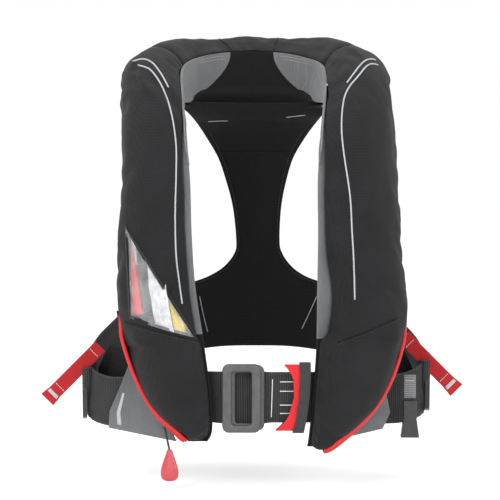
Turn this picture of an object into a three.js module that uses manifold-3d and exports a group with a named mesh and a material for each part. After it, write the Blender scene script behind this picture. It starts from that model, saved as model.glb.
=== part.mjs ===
// Inflatable life jacket with its bladder packed, as worn: +Z up, the front faces -Y, right is the wearer's.
// The station tables below are for a jacket 300 wide, 437 high and 238 deep, and are scaled to the sizes here.
import * as THREE from 'three';
import Module from 'manifold-3d';

const wasm = await Module();
wasm.setup();
const { Manifold, Mesh: SolidMesh } = wasm;

// Overall sizes, in millimetres.
const jacketWidth = 286;
const jacketHeight = 416;
const jacketDepth = 226;
// Soft goods.
const coverWall = 3;
const liningWall = 2.6;
const liningShows = 5;
const panelWall = 4;
const gap = 0.4;
const coverFullness = 1.0;
// Waist webbing and its two frames.
const beltWidth = 51;
const beltThick = 1.8;
const frameWidth = 38.6;
const frameHeight = 69;
const frameBar = 9.2;
const frameThick = 4.6;
const frameShift = 3.6;
// Harness loop round the belt.
const loopHeight = 71;
const loopWidth = 15;
const loopDepth = 16;
// Pull tabs, adjusters, leg-strap socket, toggle.
const tabLength = 58;
const tabWidth = 15;
const socketWidth = 19;
const socketLength = 38;
const toggleLength = 32;
const toggleWidth = 18;
const cordRadius = 1.1;
const pipingRadius = 2.1;

const wide = jacketWidth / 300;
const tall = jacketHeight / 437;
const deep = jacketDepth / 238;

/** A point of the 300 x 437 x 238 design, scaled to this jacket. */
function at(x, y, z) {
  return new THREE.Vector3(x * wide, y * deep, z * tall);
}

// Stations round the packed bladder, from the nape (0) over a shoulder to the lobe's tip (13):
// neck edge x, y, z; outer edge x, y, z; fullness; height of the neck wall below the neck edge.
const rightStations = [
  [0, 60, 18, 0, 104, 0, 27, 62],
  [-34, 56, 16, -42, 106, -12, 33, 60],
  [-60, 40, 10, -84, 96, -20, 38, 54],
  [-73, 12, 2, -122, 66, -25, 36, 46],
  [-77, -20, -10, -138, 28, -34, 35, 36],
  [-75, -52, -34, -141, -2, -52, 33, 22],
  [-72, -78, -72, -141, -28, -87, 32, 9],
  [-68, -96, -124, -141, -44, -138, 33, 3],
  [-66, -105, -180, -141, -54, -194, 34, 3],
  [-62, -110, -236, -140, -60, -250, 36, 3],
  [-53, -113, -294, -131, -68, -306, 37, 3],
  [-46, -114, -345, -107, -84, -362, 33, 3],
  [-44, -114, -384, -76, -100, -394, 18, 3],
  [-50, -112, -398, -68, -104, -402, 6, 3],
];
const leftStations = [
  [0, 60, 18, 0, 104, 0, 27, 62],
  [34, 56, 16, 42, 106, -12, 33, 60],
  [60, 40, 10, 86, 96, -18, 38, 54],
  [76, 12, 2, 128, 66, -23, 36, 46],
  [80, -20, -10, 146, 28, -32, 35, 36],
  [79, -52, -34, 152, -2, -52, 34, 22],
  [75, -78, -72, 156, -28, -88, 34, 9],
  [72, -96, -124, 159, -42, -140, 35, 3],
  [72, -105, -180, 160, -52, -194, 36, 3],
  [71, -110, -236, 160, -58, -250, 38, 3],
  [70, -113, -294, 157, -66, -304, 38, 3],
  [66, -114, -350, 134, -84, -360, 33, 3],
  [62, -114, -392, 88, -102, -402, 18, 3],
  [60, -112, -404, 72, -106, -409, 6, 3],
];

/** Catmull-Rom value of one column of a station table at station u. */
function along(table, column, u) {
  const last = table.length - 1;
  const i = Math.min(Math.floor(u), last - 1);
  const t = u - i;
  const v = (k) => table[Math.max(0, Math.min(last, k))][column];
  const a = 2 * v(i);
  const b = v(i + 1) - v(i - 1);
  const c = 2 * v(i - 1) - 5 * v(i) + 4 * v(i + 1) - v(i + 2);
  const d = -v(i - 1) + 3 * v(i) - 3 * v(i + 1) + v(i + 2);
  return 0.5 * (a + b * t + c * t * t + d * t * t * t);
}

/** Table and station for a signed position: minus is the wearer's right. */
function side(k) {
  return { table: k < 0 ? rightStations : leftStations, u: Math.abs(k) };
}

function neckEdge(k) {
  const { table, u } = side(k);
  return at(along(table, 0, u), along(table, 1, u), along(table, 2, u));
}

function outerEdge(k) {
  const { table, u } = side(k);
  return at(along(table, 3, u), along(table, 4, u), along(table, 5, u));
}

/** Unit vector out of the cover, away from the wearer. */
function outward(k) {
  const step = 0.05;
  const limit = rightStations.length - 1;
  const k0 = Math.max(-limit, k - step);
  const k1 = Math.min(limit, k + step);
  const mid = (q) => neckEdge(q).add(outerEdge(q)).multiplyScalar(0.5);
  const run = mid(k1).sub(mid(k0));
  const across = outerEdge(k).sub(neckEdge(k));
  const n = new THREE.Vector3().crossVectors(run, across).normalize();
  const u = Math.abs(k);
  const front = Math.min(1, Math.max(0, (u - 2) / 4));
  const hint = new THREE.Vector3(0, 0.5 - 1.5 * front, 1 - front);
  return n.dot(hint) < 0 ? n.negate() : n;
}

function fullness(k) {
  const { table, u } = side(k);
  return along(table, 6, u) * deep * coverFullness;
}

function wallHeight(k) {
  const { table, u } = side(k);
  return along(table, 7, u) * tall;
}

/** Foot of the neck wall, where the lining starts. */
function wallFoot(k) {
  const u = Math.abs(k);
  const foot = neckEdge(k);
  foot.addScaledVector(outward(k), -2);
  foot.z -= wallHeight(k);
  foot.y += 5 * Math.max(0, 1 - u / 3);
  const shows = Math.min(1, Math.max(0, (u - 5) / 2));
  foot.x += -Math.sign(k) * liningShows * shows;
  return foot;
}

/** Point of the cover's outer skin: s runs from the neck edge (0) to the outer edge (1). */
function skin(k, s, inset = 0) {
  const rise = Math.pow(1 - Math.pow(Math.abs(2 * s - 1), 2.6), 0.55);
  const p = neckEdge(k).lerp(outerEdge(k), s);
  return p.addScaledVector(outward(k), Math.max(0, fullness(k) - inset) * rise + 0.2);
}

function spaced(from, to, count) {
  const list = [];
  for (let i = 0; i <= count; i += 1) list.push(from + ((to - from) * i) / count);
  return list;
}

/** Spacing that crowds both ends, so that the steep edges of a section keep their shape. */
function crowded(count) {
  return spaced(0, 1, count).map((t) => 0.5 - 0.5 * Math.cos(Math.PI * t));
}

function fromTriangles(points, faces) {
  let volume = 0;
  for (const [a, b, c] of faces) {
    volume += points[a].dot(new THREE.Vector3().crossVectors(points[b], points[c]));
  }
  const index = [];
  for (const [a, b, c] of faces) {
    if (volume >= 0) index.push(a, b, c);
    else index.push(a, c, b);
  }
  const geometry = new THREE.BufferGeometry();
  const flat = points.flatMap((p) => [p.x, p.y, p.z]);
  geometry.setAttribute('position', new THREE.Float32BufferAttribute(flat, 3));
  geometry.setIndex(index);
  geometry.computeVertexNormals();
  return geometry;
}

/** Closed solid between two grids of points with the same layout. */
function between(top, bottom) {
  const rows = top.length;
  const cols = top[0].length;
  const points = [...top.flat(), ...bottom.flat()];
  const id = (layer, i, j) => layer * rows * cols + i * cols + j;
  const faces = [];
  const quad = (a, b, c, d) => faces.push([a, b, c], [a, c, d]);
  for (let i = 0; i < rows - 1; i += 1) {
    for (let j = 0; j < cols - 1; j += 1) {
      quad(id(0, i, j), id(0, i + 1, j), id(0, i + 1, j + 1), id(0, i, j + 1));
      quad(id(1, i, j), id(1, i, j + 1), id(1, i + 1, j + 1), id(1, i + 1, j));
    }
  }
  for (let i = 0; i < rows - 1; i += 1) {
    quad(id(0, i, 0), id(1, i, 0), id(1, i + 1, 0), id(0, i + 1, 0));
    quad(id(0, i, cols - 1), id(0, i + 1, cols - 1), id(1, i + 1, cols - 1), id(1, i, cols - 1));
  }
  for (let j = 0; j < cols - 1; j += 1) {
    quad(id(0, 0, j), id(0, 0, j + 1), id(1, 0, j + 1), id(1, 0, j));
    quad(id(0, rows - 1, j), id(1, rows - 1, j), id(1, rows - 1, j + 1), id(0, rows - 1, j + 1));
  }
  return fromTriangles(points, faces);
}

/** Grid of points moved along its own normals. */
function moved(grid, distance) {
  const rows = grid.length;
  const cols = grid[0].length;
  return grid.map((row, i) => row.map((p, j) => {
    const du = grid[Math.min(rows - 1, i + 1)][j].clone().sub(grid[Math.max(0, i - 1)][j]);
    const dv = grid[i][Math.min(cols - 1, j + 1)].clone().sub(grid[i][Math.max(0, j - 1)]);
    return p.clone().addScaledVector(du.cross(dv).normalize(), distance);
  }));
}

/** Sheet of even thickness whose middle is the grid. */
function sheet(grid, thick) {
  return between(moved(grid, thick / 2), moved(grid, -thick / 2));
}

function solidOf(geometry) {
  const position = geometry.getAttribute('position');
  const verts = Float32Array.from(position.array);
  const tris = Uint32Array.from(geometry.index.array);
  const mesh = new SolidMesh({ numProp: 3, vertProperties: verts, triVerts: tris });
  mesh.merge();
  return new Manifold(mesh);
}

function geometryOf(solid) {
  const mesh = solid.getMesh();
  const geometry = new THREE.BufferGeometry();
  geometry.setAttribute('position', new THREE.Float32BufferAttribute(mesh.vertProperties, 3));
  geometry.setIndex([...mesh.triVerts]);
  geometry.computeVertexNormals();
  return geometry;
}

function slope(from, to) {
  return to.clone().sub(from).normalize();
}

/** Matrix that stands a shape drawn in XY at a point, its Y along up and its Z along face. */
function standing(point, up, face) {
  const z = face.clone().normalize();
  const x = new THREE.Vector3().crossVectors(up, z).normalize();
  const y = new THREE.Vector3().crossVectors(z, x);
  return new THREE.Matrix4().makeBasis(x, y, z).setPosition(point);
}

function roundedRect(w, h, r) {
  const shape = new THREE.Shape();
  shape.moveTo(-w / 2 + r, -h / 2);
  shape.lineTo(w / 2 - r, -h / 2);
  shape.absarc(w / 2 - r, -h / 2 + r, r, -Math.PI / 2, 0, false);
  shape.lineTo(w / 2, h / 2 - r);
  shape.absarc(w / 2 - r, h / 2 - r, r, 0, Math.PI / 2, false);
  shape.lineTo(-w / 2 + r, h / 2);
  shape.absarc(-w / 2 + r, h / 2 - r, r, Math.PI / 2, Math.PI, false);
  shape.lineTo(-w / 2, -h / 2 + r);
  shape.absarc(-w / 2 + r, -h / 2 + r, r, Math.PI, Math.PI * 1.5, false);
  return shape;
}

function plate(shape, thick, segments = 4) {
  const g = new THREE.ExtrudeGeometry(shape, { depth: thick, bevelEnabled: false, curveSegments: segments });
  return g.translate(0, 0, -thick / 2);
}

/** Round bar along a smooth path. */
function bar(points, radius, steps, sides = 6) {
  const shape = new THREE.Shape();
  shape.absarc(0, 0, radius, 0, Math.PI * 2, false);
  const path = new THREE.CatmullRomCurve3(points);
  const options = { steps, extrudePath: path, bevelEnabled: false, curveSegments: sides };
  return new THREE.ExtrudeGeometry(shape, options);
}

const group = new THREE.Group();
const fabric = new THREE.MeshStandardMaterial({ color: 0x303030, roughness: 0.9 });
const greyFabric = new THREE.MeshStandardMaterial({ color: 0x6c6c6c, roughness: 0.9 });
const redWebbing = new THREE.MeshStandardMaterial({ color: 0xd82222, roughness: 0.8 });
const webbing = new THREE.MeshStandardMaterial({ color: 0x1c1c1c, roughness: 0.85 });
const bladder = new THREE.MeshStandardMaterial({ color: 0xe8d020, roughness: 0.6 });
const greyPlastic = new THREE.MeshStandardMaterial({ color: 0x6f7072, roughness: 0.5 });
const darkPlastic = new THREE.MeshStandardMaterial({ color: 0x161616, roughness: 0.45 });
const redPlastic = new THREE.MeshStandardMaterial({ color: 0xe04050, roughness: 0.4 });
const clear = new THREE.MeshStandardMaterial({ color: 0xcccccc, roughness: 0.1, opacity: 0.4, transparent: true });
const steel = new THREE.MeshStandardMaterial({ color: 0xb8bcc0, metalness: 1, roughness: 0.3 });

function add(name, geometry, material) {
  const mesh = new THREE.Mesh(geometry, material);
  mesh.name = name;
  group.add(mesh);
}

// Covers: one skin for each lobe and one round the collar, which meet at the shoulder seams.
const shoulderSeam = 3.2;
const tip = 13;

function coverShell(from, to, rows, cols) {
  const grid = spaced(from, to, rows).map((k) => crowded(cols).map((s) => skin(k, s)));
  const inner = spaced(from, to, rows).map((k) => crowded(cols).map((s) => {
    const w = outerEdge(k).sub(neckEdge(k)).length();
    const hem = Math.min(0.3, coverWall / w);
    const t = hem + (1 - 2 * hem) * s;
    return skin(k, t, Math.min(coverWall, fullness(k) * 0.5));
  }));
  return between(grid, inner);
}

const seamGap = 0.012;
const rightShell = coverShell(-tip, -shoulderSeam - seamGap, 24, 10);
const leftShell = coverShell(shoulderSeam + seamGap, tip, 24, 10);
add('left_lobe_cover', leftShell, fabric);
add('collar_cover', coverShell(-shoulderSeam, shoulderSeam, 16, 10), fabric);

// Window in the right cover, with a clear pane lying over the opening.
const windowCorners = [[-131, -180], [-127, -268], [-64, -286]];

function windowPrism(grow) {
  const mid = [0, 0];
  for (const [x, z] of windowCorners) {
    mid[0] += x / 3;
    mid[1] += z / 3;
  }
  const shape = new THREE.Shape();
  windowCorners.forEach(([x, z], i) => {
    const f = 1 + grow;
    const px = (mid[0] + (x - mid[0]) * f) * wide;
    const pz = (mid[1] + (z - mid[1]) * f) * tall;
    if (i === 0) shape.moveTo(px, -pz);
    else shape.lineTo(px, -pz);
  });
  const prism = new THREE.ExtrudeGeometry(shape, { depth: 90 * deep, bevelEnabled: false });
  prism.rotateX(-Math.PI / 2);
  prism.rotateX(Math.PI / 2);
  const turn = new THREE.Matrix4().makeBasis(
    new THREE.Vector3(1, 0, 0),
    new THREE.Vector3(0, 0, -1),
    new THREE.Vector3(0, 1, 0),
  );
  prism.applyMatrix4(turn);
  prism.translate(0, -170 * deep, 0);
  const merged = { position: prism.getAttribute('position').array };
  const count = merged.position.length / 3;
  const indexed = new THREE.BufferGeometry();
  indexed.setAttribute('position', new THREE.Float32BufferAttribute(merged.position, 3));
  indexed.setIndex([...Array(count).keys()]);
  return solidOf(indexed);
}


function windowPane() {
  const stations = spaced(-11, -7, 12);
  const grid = stations.map((k) => spaced(0.02, 0.98, 12).map((s) => skin(k, s)));
  const mid = grid[6][6].clone();
  const up = moved(grid, 1)[6][6].sub(mid).y < 0 ? 1 : -1;
  const skinOver = between(moved(grid, up * 1.1), moved(grid, up * 0.35));
  return geometryOf(solidOf(skinOver).intersect(windowPrism(0.09)));
}

add('window_pane', windowPane(), clear);

// Neck wall: a grey lining each side and the nape panel, which widens downwards.
function wallPoint(k, v) {
  const top = neckEdge(k).addScaledVector(outward(k), -1.2);
  return top.lerp(wallFoot(k), 0.05 + 0.87 * v);
}

const napeTop = 0.7;
const napeSpread = 2.0;

function liningOf(sign) {
  const rows = spaced(0, 1, 12);
  const grid = rows.map((t) => spaced(0, 1, 4).map((v) => {
    const start = napeTop + napeSpread * v + 0.03;
    return wallPoint(sign * (start + (6.2 - start) * t), v);
  }));
  return sheet(grid, liningWall);
}

add('right_collar_lining', liningOf(-1), greyFabric);
add('left_collar_lining', liningOf(1), greyFabric);

function napePanel() {
  const grid = spaced(-1, 1, 10).map((t) => spaced(0, 1, 4).map((v) => {
    const half = napeTop + napeSpread * v - 0.03;
    return wallPoint(t * half, v);
  }));
  return sheet(grid, liningWall);
}

add('nape_panel', napePanel(), fabric);

// Back of each lobe and of the collar, towards the wearer.
function backLiner(from, to, rows) {
  const grid = spaced(from, to, rows).map((k) => spaced(0, 1, 5).map((s) => {
    const near = wallFoot(k).addScaledVector(outward(k), -1.6);
    const far = outerEdge(k).addScaledVector(outward(k), -3.6);
    return near.lerp(far, s);
  }));
  return sheet(grid, liningWall);
}

add('right_lobe_liner', backLiner(-tip + 0.1, -shoulderSeam - 0.03, 22), greyFabric);
add('left_lobe_liner', backLiner(shoulderSeam + 0.03, tip - 0.1, 22), greyFabric);
add('collar_liner', backLiner(-shoulderSeam, shoulderSeam, 14), fabric);

// Red piping and the zip under it, round the outer and lower edge of each lobe.
function edgeLine(sign, share, clear, count) {
  return spaced(9.3, 12.35, count).map((k) => {
    const q = sign * k;
    const away = slope(neckEdge(q), outerEdge(q));
    const face = outward(q).multiplyScalar(0.55).addScaledVector(away, 0.83);
    return skin(q, share).addScaledVector(face, clear);
  });
}

function pipe(sign) {
  return bar(edgeLine(sign, 0.89, pipingRadius + 0.9, 10), pipingRadius, 20, 3);
}

add('right_piping', pipe(-1), redWebbing);
add('left_piping', pipe(1), redWebbing);

function zipTape(sign) {
  const near = edgeLine(sign, 0.937, 1.9, 16);
  const far = edgeLine(sign, 0.985, 1.9, 16);
  return sheet(near.map((p, i) => [p, far[i]]), 1.6);
}

add('right_zip', zipTape(-1), darkPlastic);
add('left_zip', zipTape(1), darkPlastic);

// Folded bladder in each lobe and round the collar.
function chamber(from, to, rows, s0, s1) {
  const list = spaced(from, to, rows);
  const fit = (k, s, share) => {
    const base = neckEdge(k).lerp(outerEdge(k), s);
    const room = Math.max(3, fullness(k) - coverWall - 3);
    const rise = Math.pow(1 - Math.pow(Math.abs(2 * s - 1), 2.6), 0.55);
    return base.addScaledVector(outward(k), 0.9 + share * (room * rise - 1.2));
  };
  const top = list.map((k) => spaced(s0, s1, 5).map((s) => fit(k, s, 1)));
  const bottom = list.map((k) => spaced(s0, s1, 5).map((s) => fit(k, s, 0)));
  return between(top, bottom);
}

add('right_air_chamber', chamber(-11.6, -shoulderSeam - 0.05, 14, 0.12, 0.45), bladder);
add('left_air_chamber', chamber(shoulderSeam + 0.05, 11.6, 14, 0.12, 0.6), bladder);
add('collar_air_chamber', chamber(-shoulderSeam + 0.03, shoulderSeam - 0.03, 12, 0.18, 0.82), bladder);

/** A point inside a lobe at station k, part-way across, with the lobe's own up and out there. */
function inside(k, s, height) {
  const out = outward(k);
  const base = (q) => neckEdge(q).lerp(outerEdge(q), s);
  const run = base(k - Math.sign(k) * 0.5).sub(base(k + Math.sign(k) * 0.5));
  const up = run.addScaledVector(out, -run.dot(out)).normalize();
  const point = base(k).addScaledVector(out, height);
  return { point, up, out };
}

// Inflator in the outer half of the right lobe, behind the window.
const inflatorAt = inside(-9.1, 0.65, 12.7);
const inflatorWidth = 24;
const inflatorHeight = 34;
const inflatorDepth = 19;

function placed(geometry, frame, x, y, z) {
  const m = standing(frame.point, frame.up, frame.out);
  geometry.translate(x, y, z);
  return geometry.applyMatrix4(m);
}

add('inflator_body', placed(plate(roundedRect(inflatorWidth, inflatorHeight, 5), inflatorDepth), inflatorAt, 0, 0, 0), greyPlastic);

function cylinderProfile() {
  const r = 10;
  const length = 62 * (tall / 0.952);
  return [[0, 0], [4.5, 0], [4.5, 8], [r, 16], [r, length - 6], [r * 0.6, length], [0, length]];
}

const cylinder = new THREE.LatheGeometry(cylinderProfile().map(([x, y]) => new THREE.Vector2(x, y)), 16);
add('gas_cylinder', placed(cylinder, inflatorAt, 0, inflatorHeight / 2 + gap, -0.5), steel);
const capGeometry = new THREE.CylinderGeometry(8.5, 8.5, 5, 20).rotateX(Math.PI / 2);
add('inflator_cap', placed(capGeometry, inflatorAt, 0, -3, inflatorDepth / 2 + 2.5 + gap), darkPlastic);

// Firing lever under the inflator, the cord it pulls and the toggle that hangs below the lobe.
const leverLength = 15;
const lever = plate(roundedRect(7, leverLength, 2.5), 4);
const leverDrop = 1.8;
const leverY = -inflatorHeight / 2 - leverLength / 2 - leverDrop;
add('firing_lever', placed(lever, inflatorAt, 2, leverY, 0), darkPlastic);

const leverEnd = placed(new THREE.BufferGeometry().setFromPoints([new THREE.Vector3(2, leverY, 0)]), inflatorAt, 0, 0, 0);
const leverTip = new THREE.Vector3().fromBufferAttribute(leverEnd.getAttribute('position'), 0);
leverTip.addScaledVector(inflatorAt.up, -leverLength / 2 - 0.6);
const toggleTop = at(-87, -99, -411);

function cordGeometry() {
  const end = toggleTop.clone().add(new THREE.Vector3(0, 0, 0.5));
  const mid = leverTip.clone().lerp(end, 0.5);
  return bar([leverTip, mid, end], cordRadius, 6, 3);
}

add('pull_cord', cordGeometry(), webbing);

// The cord leaves through a small hole in the cover's lower edge.
function cordHole() {
  const end = toggleTop.clone();
  return solidFromPlate(bar([leverTip, leverTip.clone().lerp(end, 0.5), end], cordRadius + 1.6, 4, 3));
}

const rightCover = solidOf(rightShell).subtract(windowPrism(0)).subtract(cordHole());
add('right_lobe_cover', geometryOf(rightCover), fabric);

function toggleGeometry() {
  const shape = new THREE.Shape();
  const r = toggleWidth / 2;
  const low = -toggleLength + r;
  shape.moveTo(-2.6, 0);
  shape.lineTo(2.6, 0);
  shape.lineTo(r, low);
  shape.absarc(0, low, r, 0, -Math.PI, true);
  shape.lineTo(-2.6, 0);
  return plate(shape, 7, 8).rotateX(Math.PI / 2).translate(toggleTop.x, toggleTop.y, toggleTop.z);
}

add('pull_toggle', toggleGeometry(), redPlastic);

// Oral tube with its cap and the whistle, in the outer half of the left lobe.
const tubeAt = inside(8.2, 0.76, 13);
const tubeOuter = 6.5;
const tubeLength = 62;
const tubeProfile = [[4.2, 0], [tubeOuter, 0], [tubeOuter, tubeLength], [4.2, tubeLength], [4.2, 0]];
const tube = new THREE.LatheGeometry(tubeProfile.map(([x, y]) => new THREE.Vector2(x, y)), 16);
add('oral_tube', placed(tube, tubeAt, 0, -tubeLength / 2, 0), darkPlastic);
const oralCap = new THREE.CylinderGeometry(7.4, 7.4, 8, 16);
add('oral_cap', placed(oralCap, tubeAt, 0, tubeLength / 2 + 4 + gap, 0), redPlastic);
const whistleAt = inside(9.9, 0.74, 12);
add('whistle', placed(plate(roundedRect(15, 44, 5), 9), whistleAt, 0, 0, 0), redPlastic);

// Back yoke, narrowing to a stem and flaring into the waist band: z, side to side in x, y, forward bow.
const yokeRows = [
  [-54, -70, 80, 70, 34],
  [-64, -62, 72, 84, 28],
  [-80, -52, 61, 97, 20],
  [-103, -39, 48, 105, 10],
  [-129, -30, 40, 107, 7],
  [-160, -22, 34, 106, 7],
  [-198, -18, 32, 102, 7],
  [-212, -20, 35, 100, 7],
  [-226, -32, 46, 99, 7],
  [-236, -50, 62, 98, 7],
  [-243, -72, 84, 97, 7],
];

const bandMiddle = -282;
const bandShare = 1.44;
const stemFoot = -198;
const yokeFoot = bandMiddle + (beltWidth * bandShare) / 2 / tall + 0.7;

function yoke() {
  const stretch = (yokeFoot - stemFoot) / (-243 - stemFoot);
  const grid = yokeRows.map(([z, x0, x1, y, bow]) => spaced(0, 1, 8).map((t) => {
    const x = x0 + (x1 - x0) * t;
    const drop = z < stemFoot ? stemFoot + (z - stemFoot) * stretch : z;
    return at(x, y - bow * Math.pow((x - 5) / 75, 2), drop);
  }));
  return sheet(grid, panelWall);
}

add('back_yoke', yoke(), fabric);

// Waist: x, y, z of the middle of the band or belt, and its height as a share of the belt's width.
const waistRight = [
  [-123.6, 62.2, -300.4, 1.28],
  [-150, 38, -313, 1.0],
  [-172, 8, -338, 1.0],
  [-176, -26, -358, 1.0],
  [-152, -50, -366, 1.0],
  [-112, -64, -362, 1.0],
  [-78, -80, -357, 1.0],
  [-52, -93, -355, 1.0],
];
const waistLeft = [
  [133.6, 62.2, -300.4, 1.28],
  [160, 38, -312, 1.0],
  [181, 8, -334, 1.0],
  [186, -24, -352, 1.0],
  [166, -46, -362, 1.0],
  [128, -60, -362, 1.0],
  [96, -78, -357, 1.0],
  [75, -94, -355, 1.0],
];

function strapGrid(stops, count) {
  const middle = new THREE.CatmullRomCurve3(stops.map(([x, y, z]) => at(x, y, z)));
  return spaced(0, 1, count).map((t) => {
    const f = t * (stops.length - 1);
    const i = Math.min(stops.length - 2, Math.floor(f));
    const share = stops[i][3] + (stops[i + 1][3] - stops[i][3]) * (f - i);
    const p = middle.getPoint(t);
    const tangent = middle.getTangent(t);
    const half = (beltWidth * share) / 2;
    const up = new THREE.Vector3(0, 0, 1).addScaledVector(tangent, -tangent.z).normalize();
    return [-1, 0, 1].map((v) => p.clone().addScaledVector(up, v * half));
  });
}

function band() {
  const stops = [
    [-120, 66, -298, 1.3],
    [-86, 84, bandMiddle - 7, bandShare],
    [-40, 95, bandMiddle - 1, bandShare],
    [5, 97.5, bandMiddle, bandShare],
    [50, 95, bandMiddle - 1, bandShare],
    [96, 84, bandMiddle - 7, bandShare],
    [130, 66, -298, 1.3],
  ];
  return sheet(strapGrid(stops, 18), panelWall + 1);
}

add('back_band', band(), fabric);
add('right_side_belt', sheet(strapGrid(waistRight, 24), beltThick), webbing);
add('left_side_belt', sheet(strapGrid(waistLeft, 24), beltThick), webbing);

// Front belt halves and the two frames they end in.
const beltZ = -354.5 * tall;
const frameX = -11 * wide;

const beltMeet = frameX / wide + 2;
const frontRight = [
  [-50, -94, -354.9, 1.0],
  [-36, -101.5, -354.5, 1.0],
  [-20, -105.4, -354.5, 1.0],
  [beltMeet - 0.6, -105.4, -354.5, 1.0],
];
const frontLeft = [
  [beltMeet, -105.4, -354.5, 1.0],
  [20, -105.4, -354.5, 1.0],
  [58, -105.2, -354.5, 1.0],
  [72, -98, -354.9, 1.0],
];
const frontBeltY = -105.4 * deep;
add('right_front_belt', sheet(strapGrid(frontRight, 8), beltThick), webbing);
add('left_front_belt', sheet(strapGrid(frontLeft, 10), beltThick), webbing);

function buckleFrame(width, height, barWidth) {
  const shape = roundedRect(width, height, 4.5);
  const hole = roundedRect(width - 2 * barWidth, height - 2 * (barWidth - 1.6), 2.5);
  shape.holes.push(hole);
  return plate(shape, frameThick).rotateX(Math.PI / 2);
}

const backFrameY = frontBeltY - beltThick / 2 - gap - frameThick / 2;
const frontFrameY = backFrameY - frameThick - gap;
const backFrame = buckleFrame(frameWidth, frameHeight - 3, frameBar);
add('buckle_back_frame', backFrame.translate(frameX + frameShift, backFrameY, beltZ), greyPlastic);
const frontFrame = buckleFrame(frameWidth, frameHeight, frameBar);
add('buckle_front_frame', frontFrame.translate(frameX, frontFrameY, beltZ), greyPlastic);

// Harness loop of webbing round the left front belt, with its red lining showing towards the buckle.
const loopX = neckEdge(11).x - 24.8;

function ring(width, height, depth, thick, x) {
  const shape = roundedRect(depth, height, Math.min(5, depth / 2 - 0.5));
  const hole = roundedRect(depth - 2 * thick, height - 2 * thick, Math.min(3.5, depth / 2 - thick - 0.3));
  shape.holes.push(hole);
  const g = plate(shape, width, 3);
  g.rotateX(Math.PI / 2).rotateZ(Math.PI / 2);
  return g.translate(x, frontBeltY - depth / 2, beltZ);
}

const loopWall = 1.8;
const loopLining = 1.4;
const loopBack = beltThick / 2 + gap + loopLining + gap + loopWall + 0.6;
const liningInset = 2 * (loopWall + gap);
const outerRing = ring(loopWidth, loopHeight, loopDepth, loopWall, loopX + 6);
add('harness_loop', outerRing.translate(0, loopBack, 0), webbing);
const innerRing = ring(loopWidth + 6, loopHeight - liningInset, loopDepth - liningInset, loopLining, loopX);
add('harness_loop_lining', innerRing.translate(0, loopBack - loopWall - gap, 0), redWebbing);

// Adjusters on the side belts and the red tabs that pull them.
function slide(frame) {
  const shape = roundedRect(15, beltWidth + 9, 3);
  shape.holes.push(roundedRect(8, beltWidth + 1.4, 1.5));
  const g = plate(shape, 4.4);
  return g.applyMatrix4(frame);
}

const adjusterAt = [at(-176.5, -22, -356.5), at(186, -20, -348)];
const adjusterUp = [new THREE.Vector3(0.05, 0.3, 0.95), new THREE.Vector3(-0.05, 0.3, 0.95)];
const adjusterFace = [new THREE.Vector3(-1, -0.12, 0), new THREE.Vector3(1, -0.12, 0)];
['right', 'left'].forEach((name, i) => {
  const out = adjusterFace[i].clone().normalize();
  const spot = adjusterAt[i].clone().addScaledVector(out, beltThick / 2 + gap + 2.2 + 2.7);
  add(`${name}_adjuster`, slide(standing(spot, adjusterUp[i], out)), darkPlastic);
});

const tabRoot = [at(-187.5, -26, -330), at(197, -24, -320)];
const tabClear = 4;
tabRoot[0].x -= tabClear;
tabRoot[1].x += tabClear;
const tabRun = [new THREE.Vector3(-0.7, -0.08, -0.7), new THREE.Vector3(0.7, -0.08, -0.7)];
['right', 'left'].forEach((name, i) => {
  const run = tabRun[i].clone().normalize();
  const face = new THREE.Vector3(0, -1, 0).addScaledVector(run, run.y).normalize();
  const middle = tabRoot[i].clone().addScaledVector(run, tabLength / 2);
  const g = plate(roundedRect(tabWidth, tabLength, 2), 2.4).applyMatrix4(standing(middle, run, face));
  add(`${name}_pull_tab`, g, redWebbing);
});

// Grey side wings behind the lobes' outer lower edges: z, near x, far x, near y, far y.
const rightWing = [
  [-320, -118, -130, -66, -61],
  [-350, -118, -142, -66, -59],
  [-376, -116, -153, -66, -57],
  [-394, -114, -154, -66, -57],
];
const leftWing = [
  [-346, 120, 142, -74, -64],
  [-376, 112, 148, -75, -62],
  [-394, 108, 140, -76, -64],
];

function wing(rows) {
  const grid = rows.map(([z, x0, x1, y0, y1]) => spaced(0, 1, 4).map((t) => {
    return at(x0 + (x1 - x0) * t, y0 + (y1 - y0) * t, z);
  }));
  return sheet(grid, liningWall);
}

add('right_side_wing', wing(rightWing), greyFabric);
add('left_side_wing', wing(leftWing), greyFabric);

// Leg-strap socket on its short strap, at the left side.
const socketTop = at(169, -68, -335);

function socketGeometry() {
  const shape = new THREE.Shape();
  const w = socketWidth / 2;
  shape.moveTo(-7, 0);
  shape.lineTo(7, 0);
  shape.lineTo(w - 3, -socketLength * 0.45);
  shape.lineTo(w, -socketLength);
  shape.lineTo(-w, -socketLength);
  shape.lineTo(-w + 3, -socketLength * 0.45);
  shape.lineTo(-7, 0);
  const body = solidFromPlate(plate(shape, 9));
  const mouth = Manifold.cube([socketWidth - 6, 20, 5.4], true).translate([0, -socketLength + 7, 0]);
  return geometryOf(body.subtract(mouth));
}

function solidFromPlate(geometry) {
  const position = geometry.getAttribute('position');
  const indexed = new THREE.BufferGeometry();
  indexed.setAttribute('position', position.clone());
  indexed.setIndex([...Array(position.count).keys()]);
  return solidOf(indexed);
}

const strapDrop = 24;
const socketGap = 2.2;
const socket = socketGeometry().rotateX(Math.PI / 2);
socket.translate(socketTop.x, socketTop.y, socketTop.z - strapDrop - socketGap);
add('leg_strap_socket', socket, darkPlastic);
const shortStrap = new THREE.BoxGeometry(12, 2.2, strapDrop);
add('leg_strap_hanger', shortStrap.translate(socketTop.x, socketTop.y, socketTop.z - strapDrop / 2), greyFabric);

export default group;
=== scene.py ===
"""Inflatable life jacket with its bladder packed: padded covers, waist webbing and fittings."""

import logging
import math
from dataclasses import dataclass, field
from enum import Enum
from typing import Callable, Optional, Sequence

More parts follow.
